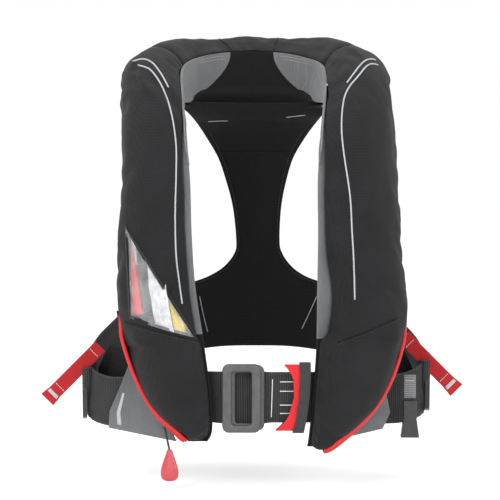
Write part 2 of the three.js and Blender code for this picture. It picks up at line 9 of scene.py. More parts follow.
import bmesh
import bpy
from mathutils import Matrix, Vector, noise
from mathutils.bvhtree import BVHTree

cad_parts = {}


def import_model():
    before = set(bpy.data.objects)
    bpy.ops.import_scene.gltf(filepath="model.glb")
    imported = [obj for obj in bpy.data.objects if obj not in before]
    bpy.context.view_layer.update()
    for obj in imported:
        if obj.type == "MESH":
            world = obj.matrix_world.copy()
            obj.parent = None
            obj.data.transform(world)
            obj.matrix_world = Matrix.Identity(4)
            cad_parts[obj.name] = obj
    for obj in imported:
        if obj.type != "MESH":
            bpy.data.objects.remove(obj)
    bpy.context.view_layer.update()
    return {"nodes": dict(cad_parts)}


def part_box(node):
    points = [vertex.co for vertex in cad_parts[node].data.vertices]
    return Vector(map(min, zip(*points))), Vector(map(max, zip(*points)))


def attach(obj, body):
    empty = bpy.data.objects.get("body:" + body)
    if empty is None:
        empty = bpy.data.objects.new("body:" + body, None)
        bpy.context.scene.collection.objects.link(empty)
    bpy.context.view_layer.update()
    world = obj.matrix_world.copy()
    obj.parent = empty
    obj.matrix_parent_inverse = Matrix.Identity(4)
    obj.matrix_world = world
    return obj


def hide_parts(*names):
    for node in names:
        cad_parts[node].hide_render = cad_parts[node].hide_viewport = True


logging.basicConfig(level=logging.INFO, format="%(message)s")
LOG = logging.getLogger("life_jacket")
MM = 0.001
JOIN = 0.00005
JACKET = "jacket"
Path = list[Vector]
Place = Callable[[float, float], Vector]


class Side(Enum):
    """Side of the jacket as worn."""

    RIGHT = -1
    LEFT = 1

    @property
    def word(self) -> str:
        """Lower-case name used in node names."""
        return self.name.lower()


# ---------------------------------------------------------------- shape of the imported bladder


def curve(p0: object, p1: object, p2: object, p3: object, t: float) -> object:
    """Catmull-Rom value a share t of the way from p1 to p2, for numbers or vectors."""
    return 0.5 * (2 * p1 + (p2 - p0) * t + (2 * p0 - 5 * p1 + 4 * p2 - p3) * t * t
                  + (3 * p1 - p0 - 3 * p2 + p3) * t ** 3)


def table_curve(table: Sequence[Sequence[float]], column: int, f: float) -> float:
    """Smooth value of one column of a table at a fractional row.

    Args:
        table: rows of numbers.
        column: which number of each row.
        f: row, whole or between two rows.

    Returns:
        The value.
    """
    last = len(table) - 1
    i = min(int(f), last - 1)
    return curve(*(table[max(0, min(last, i + d))][column] for d in (-1, 0, 1, 2)), f - i)


def table_row(table: Sequence[Sequence[float]], u: float) -> list[float]:
    """Row at a share down a table, in a straight line between two rows.

    Args:
        table: rows of numbers.
        u: share down the table, 0 to 1.

    Returns:
        The row.
    """
    f = u * (len(table) - 1)
    i = min(int(f), len(table) - 2)
    return [a + (b - a) * (f - i) for a, b in zip(table[i], table[i + 1])]


def crown(share: float) -> float:
    """How high a pad stands over its edges, 0 to 1, at a share across it."""
    return (1 - abs(2 * share - 1) ** 2.6) ** 0.55


@dataclass(frozen=True)
class JacketForm:
    """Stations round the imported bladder, from the nape over a shoulder to a lobe's tip.

    Each station holds the neck edge x, y, z, the outer edge x, y, z, the fullness and the
    height of the neck wall, for a jacket 300 wide, 437 high and 238 deep.
    """

    width: float = 286.0
    height: float = 416.0
    depth: float = 226.0
    lining_shows: float = 0.8
    edge_inset: float = 4.6
    panel_bulge: float = 9.0
    side_draw: float = 3.4
    shoulder_seam: float = 3.2
    tip: float = 13.0
    right: tuple = (
        (0, 60, 18, 0, 104, 0, 27, 62),
        (-34, 56, 16, -42, 106, -12, 33, 60),
        (-60, 40, 10, -84, 96, -20, 38, 54),
        (-73, 12, 2, -122, 66, -25, 36, 46),
        (-77, -20, -10, -138, 28, -34, 35, 36),
        (-75, -52, -34, -141, -2, -52, 33, 22),
        (-72, -78, -72, -141, -28, -87, 32, 9),
        (-68, -96, -124, -141, -44, -138, 33, 3),
        (-66, -105, -180, -141, -54, -194, 34, 3),
        (-62, -110, -236, -140, -60, -250, 36, 3),
        (-53, -113, -294, -131, -68, -306, 37, 3),
        (-46, -114, -345, -107, -84, -362, 33, 3),
        (-44, -114, -384, -76, -100, -394, 18, 3),
        (-50, -112, -398, -68, -104, -402, 6, 3),
    )
    left: tuple = (
        (0, 60, 18, 0, 104, 0, 27, 62),
        (34, 56, 16, 42, 106, -12, 33, 60),
        (60, 40, 10, 86, 96, -18, 38, 54),
        (76, 12, 2, 128, 66, -23, 36, 46),
        (80, -20, -10, 146, 28, -32, 35, 36),
        (79, -52, -34, 152, -2, -52, 34, 22),
        (75, -78, -72, 156, -28, -88, 34, 9),
        (72, -96, -124, 159, -42, -140, 35, 3),
        (72, -105, -180, 160, -52, -194, 36, 3),
        (71, -110, -236, 160, -58, -250, 38, 3),
        (70, -113, -294, 157, -66, -304, 38, 3),
        (66, -114, -350, 134, -84, -360, 33, 3),
        (62, -114, -392, 88, -102, -402, 18, 3),
        (60, -112, -404, 72, -106, -409, 6, 3),
    )

    @property
    def wide(self) -> float:
        """Scale across the jacket, in metres per design millimetre."""
        return self.width / 300 * MM

    @property
    def tall(self) -> float:
        """Scale up the jacket, in metres per design millimetre."""
        return self.height / 437 * MM

    @property
    def deep(self) -> float:
        """Scale front to back, in metres per design millimetre."""
        return self.depth / 238 * MM

    def at(self, x: float, y: float, z: float) -> Vector:
        """A point of the 300 x 437 x 238 design, in metres on this jacket."""
        return Vector((x * self.wide, y * self.deep, z * self.tall))

    def along(self, k: float, column: int) -> float:
        """Catmull-Rom value of one column at a signed station.

        Args:
            k: station, minus on the wearer's right.
            column: column of the station table.

        Returns:
            The value between the stations.
        """
        return table_curve(self.right if k < 0 else self.left, column, min(abs(k), self.tip))

    def neck_edge(self, k: float) -> Vector:
        """Edge of the bladder towards the neck, or towards the other lobe."""
        return self.at(self.along(k, 0), self.along(k, 1), self.along(k, 2))

    def outer_edge(self, k: float) -> Vector:
        """Edge of the bladder away from the neck."""
        return self.at(self.along(k, 3), self.along(k, 4), self.along(k, 5))

    def outward(self, k: float) -> Vector:
        """Unit vector out of the cover, away from the wearer."""
        k0, k1 = max(-self.tip, k - 0.05), min(self.tip, k + 0.05)
        run = (self.neck_edge(k1) + self.outer_edge(k1) - self.neck_edge(k0) - self.outer_edge(k0)) / 2
        normal = run.cross(self.outer_edge(k) - self.neck_edge(k)).normalized()
        front = min(1.0, max(0.0, (abs(k) - 2) / 4))
        hint = Vector((0, 0.5 - 1.5 * front, 1 - front))
        return -normal if normal.dot(hint) < 0 else normal

    def fullness(self, k: float) -> float:
        """Depth of the pad at a station, in metres."""
        return self.along(k, 6) * self.deep

    def wall_foot(self, k: float) -> Vector:
        """Foot of the wall that faces the neck."""
        u = abs(k)
        foot = self.neck_edge(k) - self.outward(k) * 2 * MM
        foot.z -= self.along(k, 7) * self.tall
        foot.y += 5 * MM * max(0.0, 1 - u / 3)
        foot.x -= math.copysign(self.lining_shows * MM, k) * min(1.0, max(0.0, (u - 5) / 2))
        return foot

    def wall_point(self, k: float, v: float) -> Vector:
        """Point of the neck wall, v running from its top (0) to its foot (1)."""
        top = self.neck_edge(k) - self.outward(k) * 1.2 * MM
        return top.lerp(self.wall_foot(k), 0.05 + 0.87 * v)

    def cover_inset(self, k: float) -> float:
        """How far the cover stays back from the neck edge, where the grey edge panel shows."""
        u = abs(k)
        rise = min(1.0, max(0.0, (u - 5.6) / 1.2))
        fall = min(1.0, max(0.0, (10.0 - u) / 0.1))
        bulge = self.panel_bulge * math.exp(-((u - 9.25) / 0.65) ** 2) if k > 0 else 0.0
        return (self.edge_inset + bulge) * rise * fall * MM

    def side_inset(self, k: float) -> float:
        """How far the cover's outer side is drawn in by its piping, down the front."""
        return self.side_draw * MM * min(1.0, max(0.0, (abs(k) - 5.5) / 1.5))

    def section(self, k: float, turn: float, grow: float = 0.0) -> Vector:
        """Point of the pad's section.

        Args:
            k: station along the bladder.
            turn: angle in degrees, 0 at the neck edge and 180 at the outer edge.
            grow: how far the skin stands out past its own size, in metres.

        Returns:
            The point in the jacket's frame.
        """
        near, far, out = self.neck_edge(k), self.outer_edge(k), self.outward(k)
        across = (far - near).normalized()
        near += across * self.cover_inset(k)
        far -= across * self.side_inset(k)
        c, s = math.cos(math.radians(turn)), math.sin(math.radians(turn))
        x = -math.copysign(abs(c) ** (2 / 2.6), c)
        y = abs(s) ** 1.1 * (1.0 if s >= 0 else -0.02)
        half = (far - near) / 2
        reach = half.normalized() * grow * x
        return (near + far) / 2 + half * x + reach + out * ((self.fullness(k) + grow) * y)

    def liner_point(self, k: float, s: float) -> Vector:
        """Point of the lining on the wearer's side, s from the neck edge to the outer edge."""
        near = self.wall_foot(k) - self.outward(k) * 1.6 * MM
        far = self.outer_edge(k) - self.outward(k) * 3.6 * MM
        return near.lerp(far, s)


FORM = JacketForm()


# ---------------------------------------------------------------- shader groups and finishes


class Tree:
    """A node tree being wired, with short calls for adding and linking nodes."""

    def __init__(self, tree: bpy.types.NodeTree) -> None:
        """Keep the tree that nodes are added to."""
        self.tree = tree

    def add(self, kind: str, inputs: Optional[dict] = None, **options: object) -> bpy.types.Node:
        """Add a node.

        Args:
            kind: node type without its ShaderNode prefix.
            inputs: socket name or number to a value, or to an output socket to link.
            options: attributes of the node, set before its inputs.

        Returns:
            The new node.
        """
        node = self.tree.nodes.new("ShaderNode" + kind)
        for name, value in options.items():
            setattr(node, name, value)
        for key, value in (inputs or {}).items():
            if isinstance(value, bpy.types.NodeSocket):
                self.tree.links.new(value, node.inputs[key])
            else:
                node.inputs[key].default_value = value
        return node

    def math(self, operation: str, *values: object) -> bpy.types.NodeSocket:
        """Output of a Math node on up to three values or sockets."""
        return self.add("Math", dict(enumerate(values)), operation=operation).outputs[0]


class ShaderGroups:
    """Node groups that several finishes share, each made once."""

    def __init__(self) -> None:
        """Make every group."""
        self.weave = self._weave()
        self.ribs = self._ribs()
        self.wear = self._wear()

    @staticmethod
    def _group(name: str, inputs: Sequence[tuple], outputs: Sequence[tuple]) -> tuple:
        """Make an empty group with its sockets.

        Args:
            name: name of the group.
            inputs: name, socket type and default of each input.
            outputs: name and socket type of each output.

        Returns:
            The tree wrapper, its input node and its output node.
        """
        tree = bpy.data.node_groups.new(name, "ShaderNodeTree")
        for label, kind, default in inputs:
            socket = tree.interface.new_socket(label, in_out="INPUT", socket_type=kind)
            if default is not None:
                socket.default_value = default
        for label, kind in outputs:
            tree.interface.new_socket(label, in_out="OUTPUT", socket_type=kind)
        return Tree(tree), tree.nodes.new("NodeGroupInput"), tree.nodes.new("NodeGroupOutput")

    def _weave(self) -> bpy.types.NodeTree:
        """Plain weave with thicker ripstop threads; height and shade of the threads."""
        t, src, out = self._group(
            "thread_weave",
            [("Vector", "NodeSocketVector", None), ("Pitch", "NodeSocketFloat", 0.0011),
             ("Ripstop", "NodeSocketFloat", 0.0052)],
            [("Height", "NodeSocketFloat"), ("Shade", "NodeSocketFloat")])
        xyz = t.add("SeparateXYZ", {0: src.outputs["Vector"]})
        u = t.math("MULTIPLY_ADD", xyz.outputs["Y"], 0.75, xyz.outputs["X"])
        v = t.math("MULTIPLY_ADD", xyz.outputs["Y"], -0.35, xyz.outputs["Z"])
        waves, lines = [], []
        for axis in (u, v):
            per = t.math("DIVIDE", axis, src.outputs["Pitch"])
            waves.append(t.math("SINE", t.math("MULTIPLY", per, 2 * math.pi)))
            cell = t.math("FRACT", t.math("DIVIDE", axis, src.outputs["Ripstop"]))
            away = t.math("ABSOLUTE", t.math("SUBTRACT", cell, 0.5))
            lines.append(t.math("GREATER_THAN", away, 0.42))
        plain = t.math("MULTIPLY_ADD", t.math("MULTIPLY", waves[0], waves[1]), 0.5, 0.5)
        grid = t.math("MAXIMUM", lines[0], lines[1])
        height = t.math("MULTIPLY_ADD", grid, 0.9, plain)
        t.tree.links.new(height, out.inputs["Height"])
        t.tree.links.new(t.math("MULTIPLY_ADD", grid, 0.35, t.math("MULTIPLY", plain, 0.65)),
                         out.inputs["Shade"])
        return t.tree

    def _ribs(self) -> bpy.types.NodeTree:
        """Webbing: ribs across the strap with a raised selvedge, from the strap's own map."""
        t, src, out = self._group(
            "webbing_ribs",
            [("Vector", "NodeSocketVector", None), ("Pitch", "NodeSocketFloat", 0.0023),
             ("Width", "NodeSocketFloat", 0.051)],
            [("Height", "NodeSocketFloat"), ("Edge", "NodeSocketFloat")])
        xyz = t.add("SeparateXYZ", {0: src.outputs["Vector"]})
        zig = t.math("PINGPONG", xyz.outputs["Y"], 0.0016)
        run = t.math("ADD", xyz.outputs["X"], t.math("MULTIPLY", zig, 0.55))
        rib = t.math("ABSOLUTE", t.math("SINE", t.math(
            "MULTIPLY", t.math("DIVIDE", run, src.outputs["Pitch"]), math.pi)))
        yarn = t.math("ABSOLUTE", t.math("SINE", t.math("MULTIPLY", xyz.outputs["Y"], 2100.0)))
        across = t.math("ABSOLUTE", t.math("SUBTRACT", t.math(
            "DIVIDE", xyz.outputs["Y"], src.outputs["Width"]), 0.5))
        edge = t.math("GREATER_THAN", across, 0.465)
        height = t.math("ADD", t.math("MULTIPLY_ADD", yarn, 0.25, rib), t.math("MULTIPLY", edge, 0.5))
        t.tree.links.new(height, out.inputs["Height"])
        t.tree.links.new(edge, out.inputs["Edge"])
        return t.tree

    def _wear(self) -> bpy.types.NodeTree:
        """Soft blotches of fading with a little lint, as two masks."""
        t, src, out = self._group(
            "fade_and_lint",
            [("Vector", "NodeSocketVector", None), ("Size", "NodeSocketFloat", 22.0)],
            [("Fade", "NodeSocketFloat"), ("Lint", "NodeSocketFloat")])
        broad = t.add("TexNoise", {"Vector": src.outputs["Vector"], "Scale": src.outputs["Size"],
                                   "Detail": 4.0, "Roughness": 0.6})
        fine = t.add("TexNoise", {"Vector": src.outputs["Vector"], "Scale": 900.0, "Detail": 2.0})
        fade = t.add("MapRange", {0: broad.outputs[0], 1: 0.35, 2: 0.7})
        lint = t.add("MapRange", {0: fine.outputs[0], 1: 0.62, 2: 0.8})
        t.tree.links.new(fade.outputs[0], out.inputs["Fade"])
        t.tree.links.new(lint.outputs[0], out.inputs["Lint"])
        return t.tree


def new_material(name: str, **sockets: object) -> tuple[bpy.types.Material, Tree, bpy.types.Node]:
    """Make a material with its Principled BSDF.

    Args:
        name: name of the material.
        sockets: constants set straight on the shader's sockets, with _ for each space.

    Returns:
        The material, its tree and its shader node.
    """
    material = bpy.data.materials.new(name)
    material.use_nodes = True
    tree = Tree(material.node_tree)
    shader = material.node_tree.nodes["Principled BSDF"]
    for key, value in sockets.items():
        shader.inputs[key.replace("_", " ")].default_value = value
    return material, tree, shader


def rgba(colour: Sequence[float]) -> tuple[float, float, float, float]:
    """A colour with full alpha."""
    return (colour[0], colour[1], colour[2], 1.0)


def shade(tree: Tree, mask: object, low: Sequence[float], high: Sequence[float]) -> bpy.types.NodeSocket:
    """Colour between two colours by a mask.

    Args:
        tree: tree of the material.
        mask: socket with the share of the second colour.
        low: the first colour.
        high: the second colour.

    Returns:
        The socket with the colour.
    """
    mix = tree.add("Mix", data_type="RGBA", blend_type="MIX")
    tree.tree.links.new(mask, mix.inputs["Factor"])
    mix.inputs["A"].default_value = rgba(low)
    mix.inputs["B"].default_value = rgba(high)
    return mix.outputs["Result"]


@dataclass(frozen=True)
class ClothFinish:
    """Woven cloth with ripstop threads, fading and lint."""

    name: str
    dark: tuple
    light: tuple
    pitch: float = 0.0011
    ripstop: float = 0.0052
    rough: float = 0.78
    depth: float = 0.00025
    sheen: float = 0.12
    fade: float = 0.35
    gloss: float = 0.22

    def build(self, groups: ShaderGroups) -> bpy.types.Material:
        """Make the material."""
        material, t, shader = new_material(self.name, Sheen_Weight=self.sheen, Sheen_Roughness=0.5,
                                           Specular_IOR_Level=self.gloss)
        where = t.add("TexCoord").outputs["Object"]
        weave = t.add("Group", {"Vector": where, "Pitch": self.pitch, "Ripstop": self.ripstop},
                      node_tree=groups.weave)
        wear = t.add("Group", {"Vector": where, "Size": 24.0}, node_tree=groups.wear)
        mask = t.math("ADD", t.math("MULTIPLY", weave.outputs["Shade"], 0.75),
                      t.math("MULTIPLY", wear.outputs["Fade"], self.fade))
        mask = t.math("ADD", mask, t.math("MULTIPLY", wear.outputs["Lint"], 0.18))
        t.tree.links.new(shade(t, mask, self.dark, self.light), shader.inputs["Base Color"])
        rough = t.math("MULTIPLY_ADD", wear.outputs["Fade"], 0.1, self.rough)
        t.tree.links.new(rough, shader.inputs["Roughness"])
        bump = t.add("Bump", {"Strength": 0.6, "Distance": self.depth,
                              "Height": weave.outputs["Height"]})
        t.tree.links.new(bump.outputs[0], shader.inputs["Normal"])
        return material


@dataclass(frozen=True)
class WebbingFinish:
    """Ribbed webbing, read from the strap's own map in metres, with painted shade darkening the rib valleys
    and a painted highlight on the rib tops and selvedge.
    """

    name: str
    dark: tuple
    light: tuple
    width: float = 0.051
    pitch: float = 0.0023
    rough: float = 0.62
    depth: float = 0.0005

    def build(self, groups: ShaderGroups) -> bpy.types.Material:
        """Make the material."""
        material, t, shader = new_material(self.name, Sheen_Weight=0.05, Specular_IOR_Level=0.3)
        coord = t.add("TexCoord")
        ribs = t.add("Group", {"Vector": coord.outputs["UV"], "Pitch": self.pitch, "Width": self.width},
                     node_tree=groups.ribs)
        wear = t.add("Group", {"Vector": coord.outputs["Object"], "Size": 60.0}, node_tree=groups.wear)
        # Colour mask: fading, plus painted shade and highlight from the rib height, darker in the valleys
        # and lighter on the tops and raised selvedge.
        mask = t.math("MULTIPLY_ADD", wear.outputs["Fade"], 0.25,
                      t.math("MULTIPLY", t.math("POWER", ribs.outputs["Height"], 2.2), 0.6))
        t.tree.links.new(shade(t, mask, self.dark, self.light), shader.inputs["Base Color"])
        t.tree.links.new(t.math("MULTIPLY_ADD", ribs.outputs["Edge"], -0.1, self.rough),
                         shader.inputs["Roughness"])
        bump = t.add("Bump", {"Strength": 0.8, "Distance": self.depth,
                              "Height": ribs.outputs["Height"]})
        t.tree.links.new(bump.outputs[0], shader.inputs["Normal"])
        return material


@dataclass(frozen=True)
class MouldedFinish:
    """Moulded plastic or metal with a fine grain and slight scuffs."""

    name: str
    colour: tuple
    scuff: tuple
    rough: float = 0.4
    grain: float = 1400.0
    depth: float = 0.00006
    metal: float = 0.0
    coat: float = 0.0

    def build(self, groups: ShaderGroups) -> bpy.types.Material:
        """Make the material."""
        material, t, shader = new_material(self.name, Metallic=self.metal, Coat_Weight=self.coat)
        where = t.add("TexCoord").outputs["Object"]
        wear = t.add("Group", {"Vector": where, "Size": 140.0}, node_tree=groups.wear)
        grain = t.add("TexNoise", {"Vector": where, "Scale": self.grain, "Detail": 2.0})
        t.tree.links.new(shade(t, t.math("MULTIPLY", wear.outputs["Fade"], 0.5), self.colour, self.scuff),
                         shader.inputs["Base Color"])
        t.tree.links.new(t.math("MULTIPLY_ADD", wear.outputs["Fade"], 0.14, self.rough),
                         shader.inputs["Roughness"])
        bump = t.add("Bump", {"Strength": 0.5, "Distance": self.depth, "Height": grain.outputs[0]})
        t.tree.links.new(bump.outputs[0], shader.inputs["Normal"])
        return material


@dataclass(frozen=True)
class ReflectiveFinish:
    """Silver reflective tape with a fine diamond quilting."""

    name: str = "reflective_silver"
    colour: tuple = (0.3, 0.31, 0.32)

    def build(self, groups: ShaderGroups) -> bpy.types.Material:
        """Make the material."""
        material, t, shader = new_material(self.name, Metallic=0.25)
        where = t.add("TexCoord").outputs["Object"]
        turned = t.add("Mapping", {"Vector": where, "Rotation": (0, math.radians(45), 0)})
        weave = t.add("Group", {"Vector": turned.outputs[0], "Pitch": 0.0014, "Ripstop": 0.0028},
                      node_tree=groups.weave)
        t.tree.links.new(shade(t, weave.outputs["Shade"], self.colour, (0.5, 0.51, 0.52)),
                         shader.inputs["Base Color"])
        t.tree.links.new(t.math("MULTIPLY_ADD", weave.outputs["Shade"], 0.15, 0.38),
                         shader.inputs["Roughness"])
        bump = t.add("Bump", {"Strength": 0.3, "Distance": 0.0001, "Height": weave.outputs["Height"]})
        t.tree.links.new(bump.outputs[0], shader.inputs["Normal"])
        return material


@dataclass(frozen=True)
class FilmFinish:
    """Clear film of the inspection window, slightly hazy along its creases."""

    name: str = "clear_window"

    def build(self, groups: ShaderGroups) -> bpy.types.Material:
        """Make the material."""
        material, t, shader = new_material(self.name, IOR=1.45, Coat_Weight=0.6, Alpha=0.2)
        shader.inputs["Base Color"].default_value = (0.9, 0.91, 0.93, 1)
        where = t.add("TexCoord").outputs["Object"]
        wear = t.add("Group", {"Vector": where, "Size": 45.0}, node_tree=groups.wear)
        t.tree.links.new(t.math("MULTIPLY_ADD", wear.outputs["Fade"], 0.15, 0.06),
                         shader.inputs["Roughness"])
        t.tree.links.new(t.math("MULTIPLY_ADD", wear.outputs["Fade"], 0.12, 0.05),
                         shader.inputs["Alpha"])
        bump = t.add("Bump", {"Strength": 0.25, "Distance": 0.0012, "Height": wear.outputs["Fade"]})
        t.tree.links.new(bump.outputs[0], shader.inputs["Normal"])
        return material


class Wardrobe:
    """Every finish of the jacket, built once and looked up by name."""

    def __init__(self) -> None:
        """Build the shared groups and each material."""
        groups = ShaderGroups()
        finishes = (
            ClothFinish("ripstop_black", (0.0022, 0.0022, 0.0026), (0.019, 0.019, 0.021), ripstop=0.0027,
                        pitch=0.0009, sheen=0.05),
            ClothFinish("cloth_inner_black", (0.002, 0.002, 0.0024), (0.011, 0.011, 0.012),
                        pitch=0.0014, ripstop=0.0036, rough=0.86, sheen=0.03, gloss=0.2),
            ClothFinish("lining_grey", (0.08, 0.082, 0.085), (0.185, 0.19, 0.195),
                        pitch=0.0013, ripstop=0.0019, rough=0.85, sheen=0.2, depth=0.0004),
            ClothFinish("bladder_yellow", (0.72, 0.5, 0.02), (0.95, 0.78, 0.12),
                        pitch=0.0007, ripstop=0.003, rough=0.42, sheen=0.0),
            WebbingFinish("webbing_black", (0.0012, 0.0012, 0.0015), (0.036, 0.036, 0.038)),
            WebbingFinish("webbing_grey", (0.1, 0.1, 0.105), (0.24, 0.24, 0.25), width=0.012),
            WebbingFinish("webbing_red", (0.34, 0.004, 0.006), (0.66, 0.014, 0.02), width=0.024,
                          pitch=0.0015, depth=0.0003),
            WebbingFinish("tab_red", (0.22, 0.002, 0.004), (0.5, 0.008, 0.012), width=0.015,
                          pitch=0.0015, depth=0.0003),
            MouldedFinish("piping_red", (0.5, 0.006, 0.01), (0.66, 0.02, 0.024), rough=0.55),
            MouldedFinish("frame_grey", (0.045, 0.046, 0.048), (0.1, 0.1, 0.104), rough=0.34, coat=0.15),
            MouldedFinish("moulded_black", (0.012, 0.012, 0.013), (0.04, 0.04, 0.042), rough=0.32),
            MouldedFinish("inflator_grey", (0.3, 0.31, 0.32), (0.46, 0.47, 0.48), rough=0.4),
            MouldedFinish("toggle_red", (0.46, 0.03, 0.045), (0.54, 0.055, 0.07), rough=0.22, coat=0.5),
            MouldedFinish("thread_grey", (0.25, 0.25, 0.26), (0.4, 0.4, 0.41), rough=0.8),
            MouldedFinish("foil_white", (0.4, 0.41, 0.43), (0.82, 0.83, 0.85), rough=0.25, depth=0.0004,
                          grain=160.0),
            MouldedFinish("thread_white", (0.62, 0.62, 0.62), (0.8, 0.8, 0.8), rough=0.8),
            MouldedFinish("thread_black", (0.02, 0.02, 0.022), (0.05, 0.05, 0.055), rough=0.7),
            MouldedFinish("cylinder_steel", (0.42, 0.43, 0.45), (0.6, 0.6, 0.62), rough=0.3, metal=1.0),
            ReflectiveFinish(),
            FilmFinish(),
        )
        self.materials = {f.name: f.build(groups) for f in finishes}

    def __getitem__(self, name: str) -> bpy.types.Material:
        """Look a material up."""
        return self.materials[name]


# ---------------------------------------------------------------- making pieces


def smooth_path(points: Sequence[Vector], count: int) -> Path:
    """Even points on a smooth curve through the given ones.

    Args:
        points: points that the curve passes.
        count: steps along the curve.

    Returns:
        One point more than there are steps.
    """
    pts = [Vector(p) for p in points]
    last = len(pts) - 1
    made: Path = []
    for n in range(count * 8 + 1):
        f = n / (count * 8) * last
        i = min(int(f), last - 1)
        made.append(curve(*(pts[max(0, min(last, i + j))] for j in (-1, 0, 1, 2)), f - i))
    total = [0.0]
    for p, q in zip(made, made[1:]):
        total.append(total[-1] + (q - p).length)
    even, j = [], 0
    for n in range(count + 1):
        want = total[-1] * n / count
        while j < len(total) - 2 and total[j + 1] < want:
            j += 1
        step = total[j + 1] - total[j]
        even.append(made[j].lerp(made[j + 1], (want - total[j]) / step if step else 0.0))
    return even


def path_length(points: Path) -> float:
    """Length of a run of points."""
    return sum((b - a).length for a, b in zip(points, points[1:]))


class Maker:
    """Makes finished pieces and gives each its material and body."""

    def __init__(self, wardrobe: Wardrobe, nodes: dict) -> None:
        """Keep the finishes and the carried-over nodes."""
        self.wardrobe = wardrobe
        self.nodes = nodes

    def piece(self, name: str, bm: bmesh.types.BMesh, finish: str, slot: str, body: str = JACKET,
              replaces: Sequence[str] = (), smooth: bool = True,
              recalc: bool = False) -> bpy.types.Object:
        """Turn a bmesh into a piece of the jacket.

        Args:
            name: name of the piece.
            bm: its mesh, freed here.
            finish: material name.
            slot: not used.
            body: body that it rides on.
            replaces: nodes that it stands for.
            smooth: whether it is shaded smooth.
            recalc: whether its normals are worked out again.

        Returns:
            The object.
        """
        if recalc:
            bmesh.ops.recalc_face_normals(bm, faces=bm.faces[:])
        mesh = bpy.data.meshes.new(name)
        bm.to_mesh(mesh)
        bm.free()
        if smooth:
            mesh.shade_smooth()
        obj = bpy.data.objects.new(name, mesh)
        bpy.context.scene.collection.objects.link(obj)
        mesh.materials.append(self.wardrobe[finish])
        if replaces:
            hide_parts(*replaces)
        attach(obj, body)
        LOG.info("%s: %d faces", name, len(mesh.polygons))
        return obj

    def tube(self, name: str, points: Sequence[Vector], radius: float, finish: str, slot: str,
             flat: float = 1.0, steps: int = 60, **options: object) -> bpy.types.Object:
        """Round or flattened cord along a path.

        Args:
            name: name of the piece.
            points: points that the cord follows.
            radius: radius in metres.
            finish: material name.
            slot: material slot of the record.
            flat: depth of the cord as a share of its width.
            steps: points along it.
            options: passed on to piece().

        Returns:
            The object.
        """
        bm = tube_mesh(points, radius, steps, flat)
        return self.piece(name, bm, finish, slot, recalc=True, **options)

    def dress(self, node: str, finish: str, soften: float = 0.0) -> None:
        """Give a carried-over node its material, and soften its edges where they are sharp."""
        obj = self.nodes[node]
        obj.data.materials.clear()
        obj.data.materials.append(self.wardrobe[finish])
        if soften:
            weld = obj.modifiers.new("weld", "WELD")
            weld.merge_threshold = 0.00002
            edge = obj.modifiers.new("edge", "BEVEL")
            edge.width = soften
            edge.segments = 3
            edge.limit_method = "ANGLE"
            edge.angle_limit = math.radians(35)


def tube_mesh(points: Sequence[Vector], radius: float, steps: int, flat: float = 1.0,
              sides: int = 8) -> bmesh.types.BMesh:
    """Sweep a ring along a smooth path, with closed ends.

    Args:
        points: points that the path passes.
        radius: radius in metres.
        steps: steps along the path.
        flat: depth of the ring as a share of its width.
        sides: corners of the ring.

    Returns:
        The mesh.
    """
    path = smooth_path(points, steps)
    bm = bmesh.new()
    bmesh.ops.create_circle(bm, segments=sides, radius=radius, cap_ends=True)
    for v in bm.verts:
        v.co.y *= flat
    place_ring(bm.verts[:], path[0], (path[1] - path[0]).normalized(), Vector((0, 0, 1)))
    face = bm.faces[:][0]
    last = (path[1] - path[0]).normalized()
    for i in range(1, len(path)):
        here = (path[min(i + 1, len(path) - 1)] - path[i - 1]).normalized()
        out = bmesh.ops.extrude_face_region(bm, geom=[face])
        new = [g for g in out["geom"] if isinstance(g, bmesh.types.BMVert)]
        if i > 1:
            bmesh.ops.delete(bm, geom=[face], context="FACES_ONLY")
        face = next(g for g in out["geom"] if isinstance(g, bmesh.types.BMFace))
        turn = last.rotation_difference(here).to_matrix().to_4x4()
        move = Matrix.Translation(path[i]) @ turn @ Matrix.Translation(-path[i - 1])
        bmesh.ops.transform(bm, matrix=move, verts=new)
        last = here
    bmesh.ops.recalc_face_normals(bm, faces=bm.faces[:])
    return bm


def place_ring(verts: Sequence[bmesh.types.BMVert], centre: Vector, run: Vector, up: Vector) -> None:
    """Stand a flat ring across a direction at a point.

    Args:
        verts: corners of the ring, lying in XY round the origin.
        centre: where its middle goes.
        run: direction that it stands across.
        up: direction that its Y keeps near.
    """
    side = up.cross(run)
    side = side.normalized() if side.length > 1e-6 else Vector((1, 0, 0))
    top = run.cross(side)
    for v in verts:
        v.co = centre + side * v.co.x + top * v.co.y


def grid_mesh(along: int, across: int, place: Place, size: Optional[tuple[float, float]] = None
              ) -> bmesh.types.BMesh:
    """Shape a grid by a function of its two shares, with a map in metres.

    Args:
        along: faces along the grid.
        across: faces across the grid.
        place: gives the point for two shares, each 0 to 1.
        size: length and width in metres for the map; measured when left out.

    Returns:
        The mesh.
    """
    bm = bmesh.new()
    bmesh.ops.create_grid(bm, x_segments=along, y_segments=across, size=0.5)
    uv = bm.loops.layers.uv.new("UVMap")
    run, turn = (bm.verts.layers.float.new(name) for name in ("share_along", "share_across"))
    if size is None:
        mid = [place(i / 24, 0.5) for i in range(25)]
        wide = [place(0.5, i / 12) for i in range(13)]
        size = (path_length(mid), path_length(wide))
    for face in bm.faces:
        for loop in face.loops:
            co = loop.vert.co
            loop[uv].uv = ((co.x + 0.5) * size[0], (co.y + 0.5) * size[1])
    for v in bm.verts:
        v[run], v[turn] = (min(1.0, max(0.0, c + 0.5)) for c in v.co.xy)
        v.co = place(v[run], v[turn])
    bm.normal_update()
    return bm


def close_tube(bm: bmesh.types.BMesh) -> None:
    """Join the two long edges of a rolled-up grid, and close its ends."""
    bmesh.ops.remove_doubles(bm, verts=bm.verts[:], dist=JOIN)
    bmesh.ops.holes_fill(bm, edges=[e for e in bm.edges if e.is_boundary], sides=0)


def area_of(bm: bmesh.types.BMesh) -> float:
    """Area of a sheet before it gets its wall, in square metres."""
    return sum(f.calc_area() for f in bm.faces)


